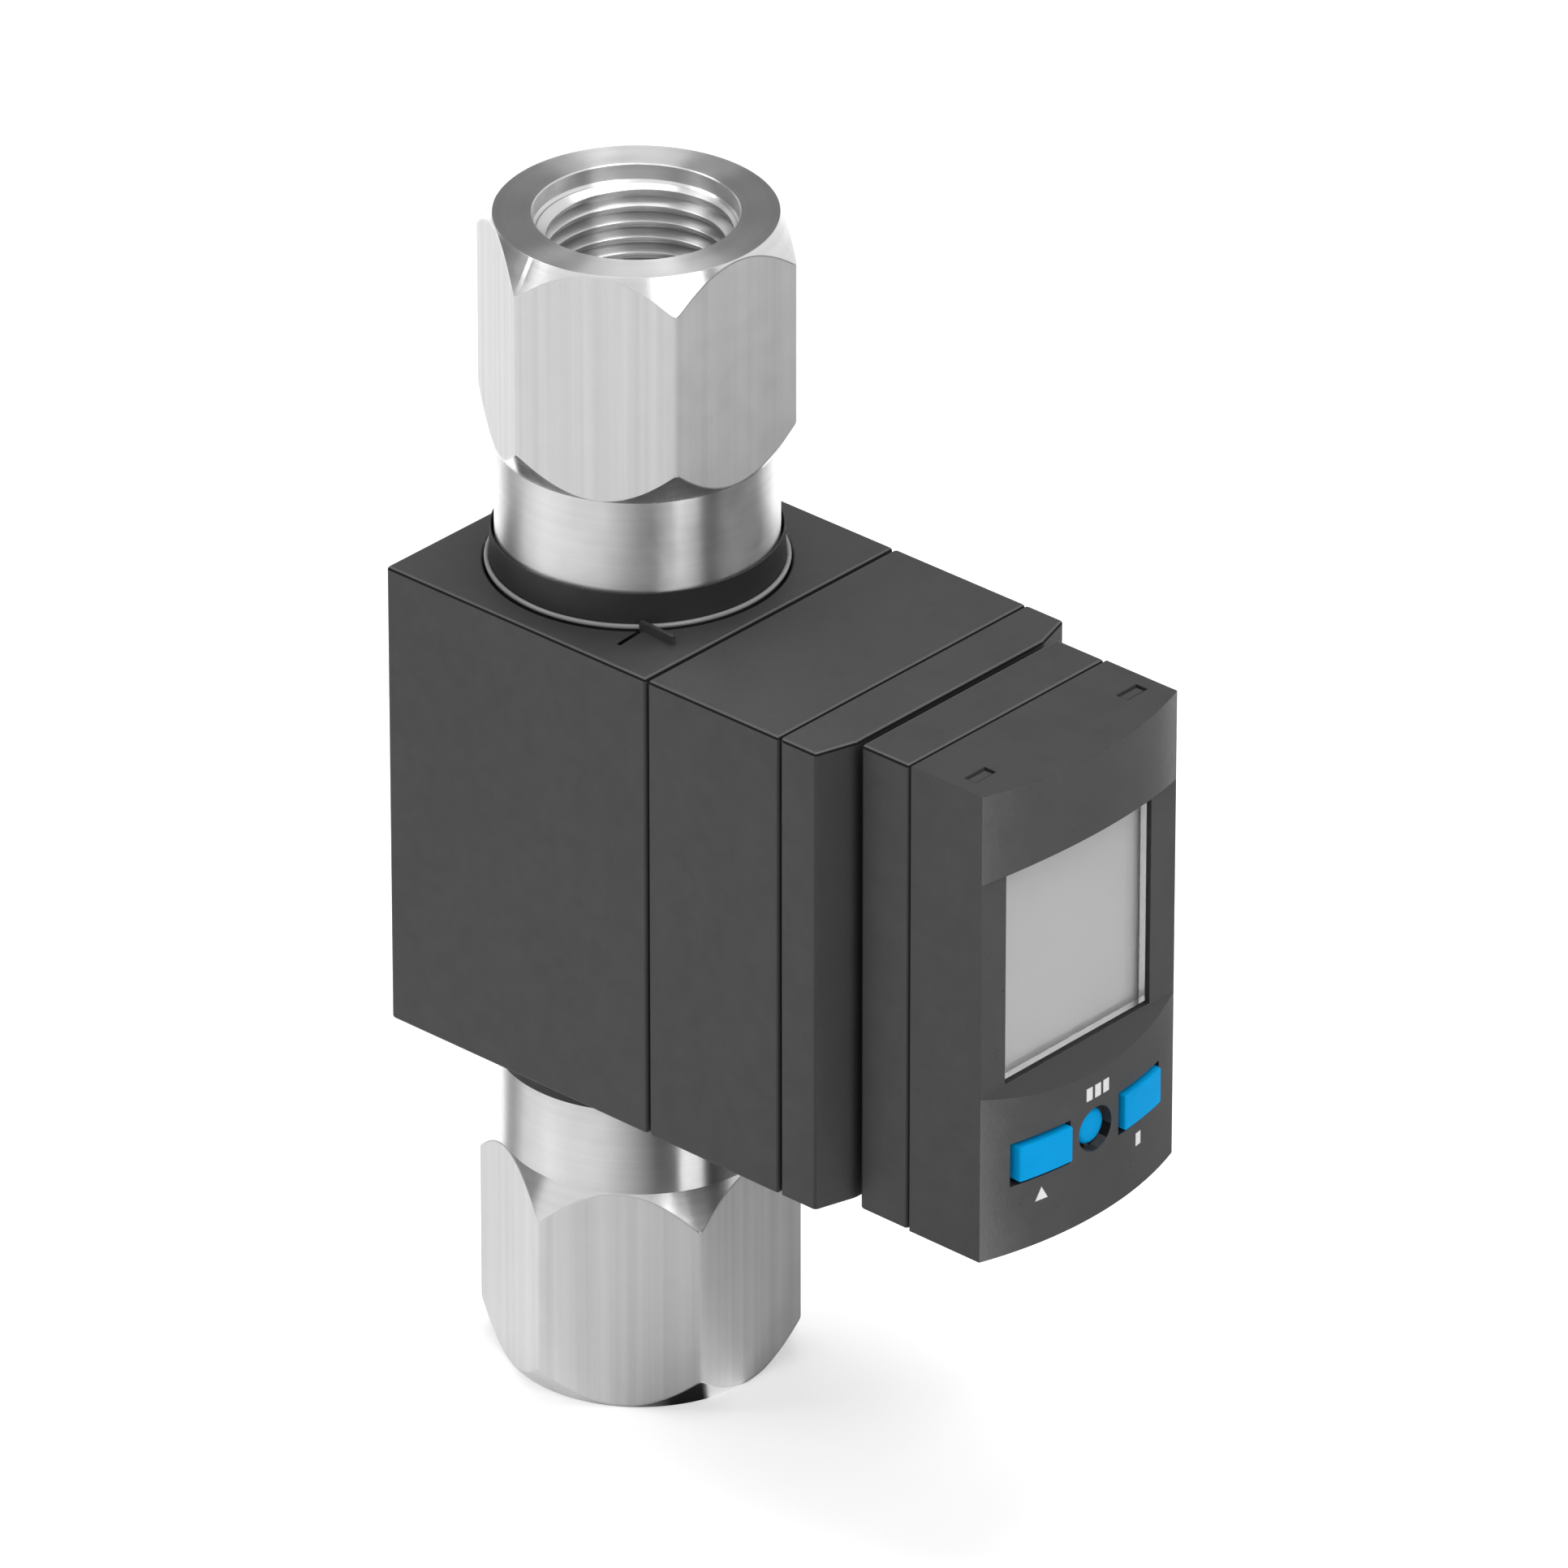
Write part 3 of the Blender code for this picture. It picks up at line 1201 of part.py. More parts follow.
def plunger(name, x):
    """The rod behind a button that reaches its switch."""
    start = Vector((x, PLUNGER_REAR, BUTTON_Z))
    length = PLUNGER_REAR - BUTTON_LIP_FRONT - BUTTON_LIP_THICKNESS / 2
    return rod(name + "_plunger", PLUNGER_RADIUS, length, ALONG_MINUS_Y, start)


def add_rectangular_button(name):
    """A rectangular button whose face follows the bulge, with a lip inside the bezel."""
    x = button_places()[name]
    half = BUTTON_WIDTH / 2
    lip_rear = BUTTON_LIP_FRONT + BUTTON_LIP_THICKNESS
    radius = BULGE_RADIUS + BUTTON_PROUD
    outline = []
    for i in range(BUTTON_STEPS + 1):
        across = BUTTON_WIDTH * i / BUTTON_STEPS - half
        outline.append((across, BULGE_CENTRE_Y - math.sqrt(radius**2 - (x + across)**2)))
    foot = BUTTON_LIP_FRONT + BUTTON_LIP_THICKNESS / 2
    outline += [(half, foot), (-half, foot)]
    middle = Matrix.Translation((x, 0.0, BUTTON_Z))
    cap = extruded(name, outline, BUTTON_HEIGHT / 2, middle, button_blue())
    round_edges(cap, BUTTON_EDGE)
    lip = wide_block(
        name + "_lip",
        half + BUTTON_LIP,
        BUTTON_HEIGHT / 2 + BUTTON_LIP,
        lip_rear,
        BUTTON_LIP_FRONT,
        z=BUTTON_Z,
        x=x,
    )
    join(cap, lip, plunger(name, x))


def add_round_button():
    """The small round button, sunk in its hole."""
    front = -(HEAD_FRONT + ROUND_BUTTON_SUNK)
    lip_front = -BUTTON_LIP_FRONT
    lip_rear = lip_front - BUTTON_LIP_THICKNESS
    plunger_rear = -PLUNGER_REAR
    edge = ROUND_BUTTON_RADIUS - BUTTON_EDGE
    profile = [
        (edge, front),
        (ROUND_BUTTON_RADIUS, front - BUTTON_EDGE),
        (ROUND_BUTTON_RADIUS, lip_front),
        (ROUND_BUTTON_RADIUS + BUTTON_LIP, lip_front),
        (ROUND_BUTTON_RADIUS + BUTTON_LIP, lip_rear),
        (PLUNGER_RADIUS, lip_rear),
        (PLUNGER_RADIUS, plunger_rear),
        (0.0, plunger_rear),
        (0.0, front),
    ]
    place = Vector((0.0, 0.0, BUTTON_Z))
    turned("button_set", profile, ALONG_MINUS_Y, place, button_blue(), SMALL_STEPS)


def main():
    clear_scene()
    add_fitting("upper_fitting", ALONG_Z, FITTING_END)
    add_fitting("lower_fitting", ALONG_MINUS_Z, -FITTING_END)
    add_neck_ring("upper_neck_ring", ALONG_Z, HALF_HEIGHT)
    add_neck_ring("lower_neck_ring", ALONG_MINUS_Z, -HALF_HEIGHT)
    add_fitting_seal("upper_o_ring", 1)
    add_fitting_seal("lower_o_ring", -1)
    add_measuring_tube()
    add_bluff_body()
    add_sensor()
    add_sensor_leads()
    add_tube_housing()
    add_electronics_housing()
    add_signal_board()
    add_display_lead()
    add_front_block()
    add_housing_screws()
    add_plug()
    add_swivel()
    add_head_back_shell()
    add_head_bezel()
    add_window_and_panel()
    add_display_board()
    add_rectangular_button("button_a")
    add_rectangular_button("button_b")
    add_round_button()


main()
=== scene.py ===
"""In-line vortex flow sensor with a swivelling display head, dressed over its CAD model.

Metres, +Z up. The pipe runs along Z at PIPE_Y and the display faces -Y. Each sub-assembly is a
class that holds its sizes and builds, dresses and reports its own pieces.
"""

import enum
import functools
import logging
import math
from collections.abc import Callable, Sequence
from dataclasses import dataclass
from typing import Any

import bmesh
import bpy
from mathutils import Matrix, Vector


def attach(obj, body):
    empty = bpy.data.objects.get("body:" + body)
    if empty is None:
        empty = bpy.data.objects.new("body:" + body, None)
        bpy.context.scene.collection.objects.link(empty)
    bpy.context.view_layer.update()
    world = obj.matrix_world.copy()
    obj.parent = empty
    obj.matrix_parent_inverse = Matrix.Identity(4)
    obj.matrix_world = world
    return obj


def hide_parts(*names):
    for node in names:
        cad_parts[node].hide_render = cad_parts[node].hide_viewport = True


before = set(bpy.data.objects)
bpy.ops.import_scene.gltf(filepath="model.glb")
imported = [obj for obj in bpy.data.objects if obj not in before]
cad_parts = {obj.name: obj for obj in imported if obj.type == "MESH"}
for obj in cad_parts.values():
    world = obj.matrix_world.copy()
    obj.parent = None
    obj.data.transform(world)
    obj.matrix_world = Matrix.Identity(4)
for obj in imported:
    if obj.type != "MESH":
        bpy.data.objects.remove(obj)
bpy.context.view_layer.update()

log = logging.getLogger("flow_sensor")

PIPE_Y = -0.0179
PLUG_Y = -0.04685
PIPE_END = 0.0675
HOUSING_END = 0.0271
FULL_TURN = 2 * math.pi
FORWARDS = Matrix.Rotation(math.radians(90), 4, "X")  # carries +Z onto -Y
MERGE_DISTANCE = 0.000001
FLAT_ANGLE = math.radians(0.3)  # the triangles of one flat face meet at less
SHARP_ANGLE = math.radians(50)
CREASE_ANGLE = math.radians(7)
WIDE_FACE = 6e-6  # square metres: wide faces meet in a crisp crease
BRIM_WIDTH = 0.0004
# Roundings that look up past BRIM_LEVEL get a painted highlight, those below it painted shade.
BRIM_LOW, BRIM_LEVEL, BRIM_HIGH = 0.2, 0.7, 0.98  # how far up a rounding's face looks
# Faces that look this far forwards get painted light.
FRONT_FACING = 0.93
FINE_STEPS = 128
SMALL_STEPS = 64
THREAD_STEPS = 72  # in each turn
THREAD_TIP = 0.02  # a ridge's size at its very ends
NOISE_LOW, NOISE_HIGH = 0.3, 0.7  # nearly all of a noise node's values lie between
WHITE = (1.0, 1.0, 1.0, 1.0)

# The studio's light and dark cards: an azimuth in degrees and a level for each edge.
FLOOR_CARDS = (
    (-180, 1.0), (-170, 0.3), (-160, 0.3), (-145, 0.7), (-75, 0.6), (-35, 0.0),
    (-20, 0.0), (-18, 1.0), (-2, 1.0), (2, 0.0), (60, 0.1), (85, 1.0), (110, 1.0),
    (120, 0.3), (140, 0.4), (150, 1.0), (179, 1.0),
)
WALL_CARDS = (
    (-180, 0.8), (-175, 0.2), (-130, 0.2), (-125, 0.9), (-50, 0.8), (-30, 0.6),
    (-25, 1.0), (0, 1.0), (5, 0.1), (15, 0.1), (20, 0.9), (100, 1.0), (115, 0.3),
    (145, 0.3), (160, 0.9), (179, 0.8),
)

Colour = tuple[float, float, float]
Profile = Sequence[tuple[float, float]]
Row = Callable[[float], tuple[float, float]]
Socket = bpy.types.NodeSocket


class Axis(enum.Enum):
    """An axis that a piece is turned about, with its two cross directions and its own."""

    X = (1, 2, 0)
    Y = (2, 0, 1)
    Z = (0, 1, 2)

    def matrix(self) -> Matrix:
        """Makes the turn that carries +Z onto this axis.

        Returns:
            The matrix.
        """
        turned = Matrix.Identity(4)
        for column, row in enumerate(self.value):
            for other in range(3):
                turned[other][column] = 1.0 if other == row else 0.0
        return turned


class Cut(enum.Enum):
    """How a metal surface was worked, which sets the way its marks run."""

    TURNED = "rings round the axis"
    MILLED = "strokes along Z"
    PLATED = "no direction"


class Band(enum.IntEnum):
    """How a band of a fitting was worked, which is the number of its finish."""

    TURNED = 0
    MILLED = 1
    BORED = 2
    CHAMFERED = 3
    FACED = 4


class Region(enum.IntEnum):
    """Where a face of a moulded block lies, which is the number of its finish: the plain wall,
    roundings with a painted highlight or painted shade, and front faces with painted light.
    """

    WALL = 0
    BRIM_ABOVE = 1
    BRIM_ASIDE = 2
    FRONT = 3


class NodeSheet:
    """A node tree being laid out, for shaders and for geometry."""

    SPACING = 180

    def __init__(self, tree: bpy.types.NodeTree) -> None:
        """Starts on the tree that the nodes go into."""
        self.tree = tree

    def feed(self, node: Any, inputs: dict[str | int, Any]) -> None:
        """Sets a node's inputs.

        Args:
            node: The node.
            inputs: A value or another node's output for each input, by name or number.
        """
        for key, value in inputs.items():
            if isinstance(value, Socket):
                self.tree.links.new(value, node.inputs[key])
            else:
                node.inputs[key].default_value = value

    def node(self, kind: str, inputs: dict[str | int, Any] | None = None, **settings: Any) -> Any:
        """Adds a node.

        Args:
            kind: The node's Blender type.
            inputs: What feeds it.
            **settings: The node's own properties.

        Returns:
            The node.
        """
        made = self.tree.nodes.new(kind)
        made.location.x = self.SPACING * len(self.tree.nodes)
        for name, value in settings.items():
            setattr(made, name, value)
        self.feed(made, inputs or {})
        return made

    def math(self, operation: str, *values: Any) -> Socket:
        """Returns the output of a Math node on these values or sockets."""
        return self.node("ShaderNodeMath", dict(enumerate(values)), operation=operation).outputs[0]

    def group(self, effect: bpy.types.NodeTree, inputs: dict[str | int, Any]) -> Any:
        """Returns the node of a shared effect that is fed these inputs."""
        return self.node("ShaderNodeGroup", inputs, node_tree=effect)


def effect_group(name: str, inputs: dict[str, float | None], outputs: Sequence[str]) -> Any:
    """Starts a shader node group.

    Args:
        name: The group's name.
        inputs: Its inputs by name: a float's default, or None for a vector.
        outputs: The names of its float outputs.

    Returns:
        The group's sheet, its inner input sockets by name, and its output node.
    """
    tree = bpy.data.node_groups.new(name, "ShaderNodeTree")
    for label, default in inputs.items():
        kind = "NodeSocketVector" if default is None else "NodeSocketFloat"
        socket = tree.interface.new_socket(label, in_out="INPUT", socket_type=kind)
        if default is not None:
            socket.default_value = default
    for label in outputs:
        tree.interface.new_socket(label, in_out="OUTPUT", socket_type="NodeSocketFloat")
    sheet = NodeSheet(tree)
    return sheet, sheet.node("NodeGroupInput").outputs, sheet.node("NodeGroupOutput")


@functools.cache
def mottle_effect() -> bpy.types.NodeTree:
    """Makes the group for slow, cloudy changes of tone or gloss between a low and a high value.

    Returns:
        The group.
    """
    inputs = {"Vector": None, "Scale": 120.0, "Low": 0.9, "High": 1.1}
    sheet, given, end = effect_group("mottle", inputs, ["Value"])
    cloud = sheet.node(
        "ShaderNodeTexNoise",
        {"Vector": given["Vector"], "Scale": given["Scale"], "Detail": 4.0, "Roughness": 0.6},
    )
    spread = sheet.node(
        "ShaderNodeMapRange",
        {0: cloud.outputs[0], 1: NOISE_LOW, 2: NOISE_HIGH, 3: given["Low"], 4: given["High"]},
    )
    sheet.feed(end, {0: spread.outputs[0]})
    return sheet.tree


def mottled(sheet: NodeSheet, place: Socket, scale: float, middle: float, spread: float) -> Socket:
    """Adds the mottle effect to a material.

    Args:
        sheet: The material's sheet.
        place: The surface's position.
        scale: How fine the clouds are.
        middle: The value that they wander about.
        spread: How far from it they go.

    Returns:
        The wandering value.
    """
    inputs = {"Vector": place, "Scale": scale, "Low": middle - spread, "High": middle + spread}
    return sheet.group(mottle_effect(), inputs).outputs[0]


@functools.cache
def grain_effect() -> bpy.types.NodeTree:
    """Makes the group for the fine grain of a mould's etched wall.

    Returns:
        The group.
    """
    sheet, given, end = effect_group("moulded grain", {"Vector": None, "Size": 0.00025}, ["Height"])
    scale = sheet.math("DIVIDE", 1.0, given["Size"])
    fine = sheet.node(
        "ShaderNodeTexNoise",
        {"Vector": given["Vector"], "Scale": scale, "Detail": 2.0, "Roughness": 0.55},
    )
    pits = sheet.node(
        "ShaderNodeTexVoronoi",
        {"Vector": given["Vector"], "Scale": sheet.math("MULTIPLY", scale, 0.6)},
        feature="SMOOTH_F1",
    )
    height = sheet.math("MULTIPLY_ADD", pits.outputs["Distance"], 0.5, fine.outputs[0])
    sheet.feed(end, {0: height})
    return sheet.tree


@functools.cache
def card_effect(name: str, cards: tuple[tuple[float, float], ...]) -> bpy.types.NodeTree:
    """Makes the group for the studio's light and dark cards, which stand round the object.

    Args:
        name: The group's name.
        cards: An azimuth in degrees and a level for each edge of a card.

    Returns:
        The group.
    """
    sheet, given, end = effect_group(name, {"Vector": None}, ["Level"])
    parts = sheet.node("ShaderNodeSeparateXYZ", {0: given["Vector"]}).outputs
    forward = sheet.math("MULTIPLY", parts[1], -1.0)
    turn = sheet.math("DIVIDE", sheet.math("ARCTAN2", parts[0], forward), FULL_TURN)
    place = sheet.math("ADD", turn, 0.5)
    ramp = sheet.node("ShaderNodeValToRGB", {0: place})
    stops = ramp.color_ramp.elements
    for azimuth, level in cards:
        stop = stops.new(azimuth / 360 + 0.5)
        stop.color = (level, level, level, 1.0)
    stops.remove(stops[-1])
    stops.remove(stops[0])
    sheet.feed(end, {0: ramp.outputs[0]})
    return sheet.tree


@functools.cache
def tool_mark_effect() -> bpy.types.NodeTree:
    """Makes the group for cutting marks, lines that change with Across and hardly with Along.

    Returns:
        The group.
    """
    inputs = {"Across": None, "Along": 0.0, "Pitch": 0.0002}
    sheet, given, end = effect_group("tool marks", inputs, ["Height", "Tone"])
    scale = sheet.math("DIVIDE", 1.0, given["Pitch"])
    across = sheet.node(
        "ShaderNodeVectorMath", {0: given["Across"], "Scale": scale}, operation="SCALE"
    )
    fine, broad = (
        sheet.node(
            "ShaderNodeTexNoise",
            {"Vector": across.outputs[0], "W": given["Along"], "Scale": size, "Detail": detail},
            noise_dimensions="4D",
        ).outputs[0]
        for size, detail in ((1.0, 2.0), (0.17, 3.0))
    )
    both = sheet.math("MULTIPLY_ADD", broad, 1.5, fine)
    sheet.feed(end, {0: both, 1: broad})
    return sheet.tree


def bare_material(name: str) -> tuple[bpy.types.Material, NodeSheet, Any]:
    """Starts a material.

    Args:
        name: The material's name.

    Returns:
        The material, its sheet and its Principled shader.
    """
    made = bpy.data.materials.new(name)
    made.use_nodes = True
    return made, NodeSheet(made.node_tree), made.node_tree.nodes["Principled BSDF"]


def tinted(sheet: NodeSheet, colour: Colour, tone: Socket) -> Socket:
    """Returns a colour made darker or lighter by a tone that changes over the surface."""
    scaled = sheet.node("ShaderNodeVectorMath", {0: colour, "Scale": tone}, operation="SCALE")
    return scaled.outputs[0]


@dataclass(frozen=True)
class Moulding:
    """A moulded plastic or rubber: an even colour, soft gloss and the grain of its mould."""

    name: str
    colour: Colour
    roughness: float
    grain_size: float = 0.00028
    grain_height: float = 0.000012
    tone_spread: float = 0.07
    tone_scale: float = 140.0
    gloss_spread: float = 0.05
    gloss_scale: float = 420.0
    specular: float = 0.5

    @functools.cache
    def material(self) -> bpy.types.Material:
        """Makes the finish's material when it is first asked for.

        Returns:
            The material.
        """
        made, sheet, shader = bare_material(self.name)
        place = sheet.node("ShaderNodeTexCoord").outputs["Object"]
        tone = mottled(sheet, place, self.tone_scale, 1.0, self.tone_spread)
        dull = mottled(sheet, place, self.gloss_scale, self.roughness, self.gloss_spread)
        grain = sheet.group(grain_effect(), {"Vector": place, "Size": self.grain_size}).outputs[0]
        bump = sheet.node("ShaderNodeBump", {"Distance": self.grain_height, "Height": grain})
        sheet.feed(shader, {
            "Base Color": tinted(sheet, self.colour, tone),
            "Roughness": dull,
            "Normal": bump.outputs[0],
            "Specular IOR Level": self.specular,
        })
        return made


@dataclass(frozen=True)
class Metal:
    """A bare or plated metal with the marks of the tool that cut it."""

    name: str
    colour: Colour
    roughness: float
    cut: Cut = Cut.PLATED
    axis: Axis = Axis.Z
    centre: tuple[float, float, float] = (0.0, PIPE_Y, 0.0)
    mark_pitch: float = 0.00016
    mark_height: float = 0.000003
    tone_spread: float = 0.05
    gloss_spread: float = 0.04
    gloss_scale: float = 300.0
    stroke: float = 0.02
    spread: float = 0.0

    def _marks(self, sheet: NodeSheet, moved: Socket) -> Any:
        """Adds the tool marks.

        Args:
            sheet: The material's sheet.
            moved: The surface's position, counted from the metal's centre.

        Returns:
            The node whose outputs are the marks' height and tone.
        """
        parts = sheet.node("ShaderNodeSeparateXYZ", {0: moved}).outputs
        side, other, own = (parts[index] for index in self.axis.value)
        if self.cut is Cut.TURNED:
            squares = sheet.math("MULTIPLY_ADD", side, side, sheet.math("MULTIPLY", other, other))
            radius = sheet.math("SQRT", squares)
            across = sheet.node("ShaderNodeCombineXYZ", {0: radius, 1: own}).outputs[0]
            along = sheet.math("MULTIPLY", sheet.math("ARCTAN2", side, other), 0.5)
        elif self.cut is Cut.MILLED:
            across = sheet.node("ShaderNodeCombineXYZ", {0: side, 1: other}).outputs[0]
            along = sheet.math("DIVIDE", own, self.stroke)
        else:
            across, along = moved, 0.0
        inputs = {"Across": across, "Along": along, "Pitch": self.mark_pitch}
        return sheet.group(tool_mark_effect(), inputs)

    def _stretch_gloss(self, sheet: NodeSheet, moved: Socket, shader: Any) -> None:
        """Stretches the gloss across the tool marks, as fine grooves do.

        Args:
            sheet: The material's sheet.
            moved: The surface's position, counted from the metal's centre.
            shader: The metal's shader.
        """
        parts = sheet.node("ShaderNodeSeparateXYZ", {0: moved}).outputs
        side, other = self.axis.value[:2]
        turned_back = sheet.math("MULTIPLY", parts[other], -1.0)
        round_axis = sheet.node("ShaderNodeCombineXYZ", {side: turned_back, other: parts[side]})
        quarter_turn = 0.25 if self.cut is Cut.TURNED else 0.0
        sheet.feed(shader, {
            "Tangent": round_axis.outputs[0],
            "Anisotropic": self.spread,
            "Anisotropic Rotation": quarter_turn,
        })

    @functools.cache
    def material(self) -> bpy.types.Material:
        """Makes the finish's material when it is first asked for.

        Returns:
            The material.
        """
        made, sheet, shader = bare_material(self.name)
        place = sheet.node("ShaderNodeTexCoord").outputs["Object"]
        moved = sheet.node(
            "ShaderNodeVectorMath", {0: place, 1: self.centre}, operation="SUBTRACT"
        ).outputs[0]
        marks = self._marks(sheet, moved)
        if self.spread:
            self._stretch_gloss(sheet, moved, shader)
        tone = sheet.node(
            "ShaderNodeMapRange",
            {0: marks.outputs["Tone"], 1: NOISE_LOW, 2: NOISE_HIGH,
             3: 1 - self.tone_spread, 4: 1 + self.tone_spread},
        )
        bump = sheet.node(
            "ShaderNodeBump", {"Distance": self.mark_height, "Height": marks.outputs["Height"]}
        )
        sheet.feed(shader, {
            "Base Color": tinted(sheet, self.colour, tone.outputs[0]),
            "Roughness": mottled(
                sheet, place, self.gloss_scale, self.roughness, self.gloss_spread
            ),
            "Normal": bump.outputs[0],
            "Metallic": 1.0,
        })
        return made


@dataclass(frozen=True)
class ClearPlastic:
    """The clear window, with a trace of polishing haze."""

    name: str
    colour: Colour
    roughness: float
    haze_spread: float = 0.012
    haze_scale: float = 90.0
    ior: float = 1.45

    @functools.cache
    def material(self) -> bpy.types.Material:
        """Makes the finish's material when it is first asked for.

        Returns:
            The material.
        """
        made, sheet, shader = bare_material(self.name)
        place = sheet.node("ShaderNodeTexCoord").outputs["Object"]
        haze = mottled(sheet, place, self.haze_scale, self.roughness, self.haze_spread)
        sheet.feed(shader, {
            "Roughness": haze,
            "Base Color": (*self.colour, 1.0),
            "Transmission Weight": 1.0,
            "IOR": self.ior,
        })
        return made


Finish = Moulding | Metal | ClearPlastic

HOUSING_BLACK = Moulding("housing_black", (0.032, 0.032, 0.033), 0.5)
HEAD_BLACK = Moulding("head_black", (0.031, 0.031, 0.032), 0.46)
# Painted light: a lighter, glossier copy of the head black for the faces that look forwards.
FRONT_PAINTED_LIGHT = Moulding("head_face", (0.078, 0.078, 0.079), 0.32, specular=1.0)
# Painted highlight and painted shade: a lighter and a darker copy of the housing black for the
# faces of roundings that look up and aside.
BRIM_PAINTED_HIGHLIGHT = Moulding("housing_brim", (0.06, 0.06, 0.061), 0.45, grain_height=0.000004)
BRIM_PAINTED_SHADE = Moulding(
    "housing_edge", (0.008, 0.008, 0.008), 0.8, grain_height=0.000004, specular=0.15
)
# A light grey that paints a highlight on the bead along the neck hole's rim.
BEAD_PAINTED_HIGHLIGHT = Moulding("polished_bead", (0.26, 0.26, 0.26), 0.25, grain_height=0.000001)
RUBBER = Moulding("black_rubber_satin", (0.012, 0.012, 0.013), 0.55, grain_height=0.000006)
GLASS_FILLED = Moulding("glass_filled_plastic", (0.16, 0.15, 0.14), 0.45)
FRAME_WHITE = Moulding("frame_white_moulding", (0.75, 0.75, 0.72), 0.5)
BUTTON_BLUE = Moulding(
    "button_blue_satin", (0.0, 0.34, 0.75), 0.6, grain_height=0.000004, specular=0.06
)
LEGEND_WHITE = Moulding("legend_white_ink", (0.8, 0.8, 0.8), 0.6, grain_height=0.000002)
SOLDER_MASK = Moulding("green_solder_mask", (0.02, 0.12, 0.05), 0.4, grain_size=0.0006)
DISPLAY_GREY = Moulding(
    "display_grey", (0.8, 0.8, 0.8), 0.5,
    grain_size=0.002, grain_height=0.0000001, tone_spread=0.01,
)
TURNED_STEEL = Metal("turned_stainless", (0.74, 0.74, 0.745), 0.33, Cut.TURNED, spread=1.0)
MILLED_STEEL = Metal("milled_stainless", (0.82, 0.82, 0.825), 0.72, Cut.MILLED, spread=0.3)
CHAMFER_STEEL = Metal("chamfered_stainless", (0.72, 0.72, 0.725), 0.24, Cut.TURNED, spread=0.5)
# A darker copy of the stainless for the faced end: painted shade.
FACED_STEEL_PAINTED_SHADE = Metal("faced_stainless", (0.46, 0.46, 0.465), 0.34, Cut.TURNED, spread=1.0)
BORED_STEEL = Metal("bored_stainless", (0.72, 0.72, 0.725), 0.32, Cut.TURNED, spread=0.9)
SCREW_STEEL = Metal("zinc_plated_steel", (0.55, 0.55, 0.56), 0.34)
PLUG_CENTRE = (0.0, PLUG_Y, 0.0)
NICKEL = Metal("nickel_plated_brass", (0.62, 0.60, 0.56), 0.24, Cut.TURNED, Axis.X, PLUG_CENTRE)
GOLD = Metal("gold_flash", (0.83, 0.62, 0.25), 0.28, Cut.TURNED, Axis.X, PLUG_CENTRE)
WINDOW_CLEAR = ClearPlastic("window_clear", (1.0, 1.0, 1.0), 0.04)


@dataclass(frozen=True)
class Berth:
    """Where a piece belongs: the body it rides on, its slot, which is not used, and the CAD nodes
    it stands for.
    """

    body: str
    slot: str
    nodes: tuple[str, ...] = ()


def dress(finish: Finish, *nodes: str) -> None:
    """Gives CAD nodes whose shape stays a finish.

    Args:
        finish: The finish.
        *nodes: The nodes' names.
    """
    for name in nodes:
        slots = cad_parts[name].data.materials
        slots.clear()
        slots.append(finish.material())
        log.info("dressed %s in %s", name, finish.name)


def rectangle(left: float, right: float, low: float, high: float) -> Profile:
    """Returns a rectangle's corners in order."""
    return [(left, low), (right, low), (right, high), (left, high)]


def arc(across: float, height: float, radius: float, step: float, count: int) -> Profile:
    """Makes points on an arc.

    Args:
        across: How far from the axis its middle is.
        height: The height of its middle.
        radius: Its radius.
        step: The turn from each point to the next.
        count: The number of points.

    Returns:
        The points, the first of them straight out from the middle.
    """
    turns = [step * number for number in range(count)]
    return [(across + radius * math.cos(a), height + radius * math.sin(a)) for a in turns]


def pipe_ends(distance: float) -> tuple[Matrix, Matrix]:
    """Finds the two places on the pipe at a distance from its middle.

    Args:
        distance: The distance.

    Returns:
        What carries a form up there, and what carries it down there turned over.
    """
    turned_over = Matrix.Rotation(math.pi, 4, "X")
    above = Matrix.Translation((0.0, PIPE_Y, distance))
    return above, turned_over @ Matrix.Translation((0.0, -PIPE_Y, distance))


def bridge(cage: bmesh.types.BMesh, ring: Sequence[Any], after: Sequence[Any], number: int) -> None:
    """Closes the band between two rings of corners.

    Args:
        cage: The cage that they belong to.
        ring: The first ring.
        after: The ring after it.
        number: The finish number of the band.
    """
    for column in range(len(ring)):
        beside = (column + 1) % len(ring)
        face = cage.faces.new((ring[column], ring[beside], after[beside], after[column]))
        face.material_index = number


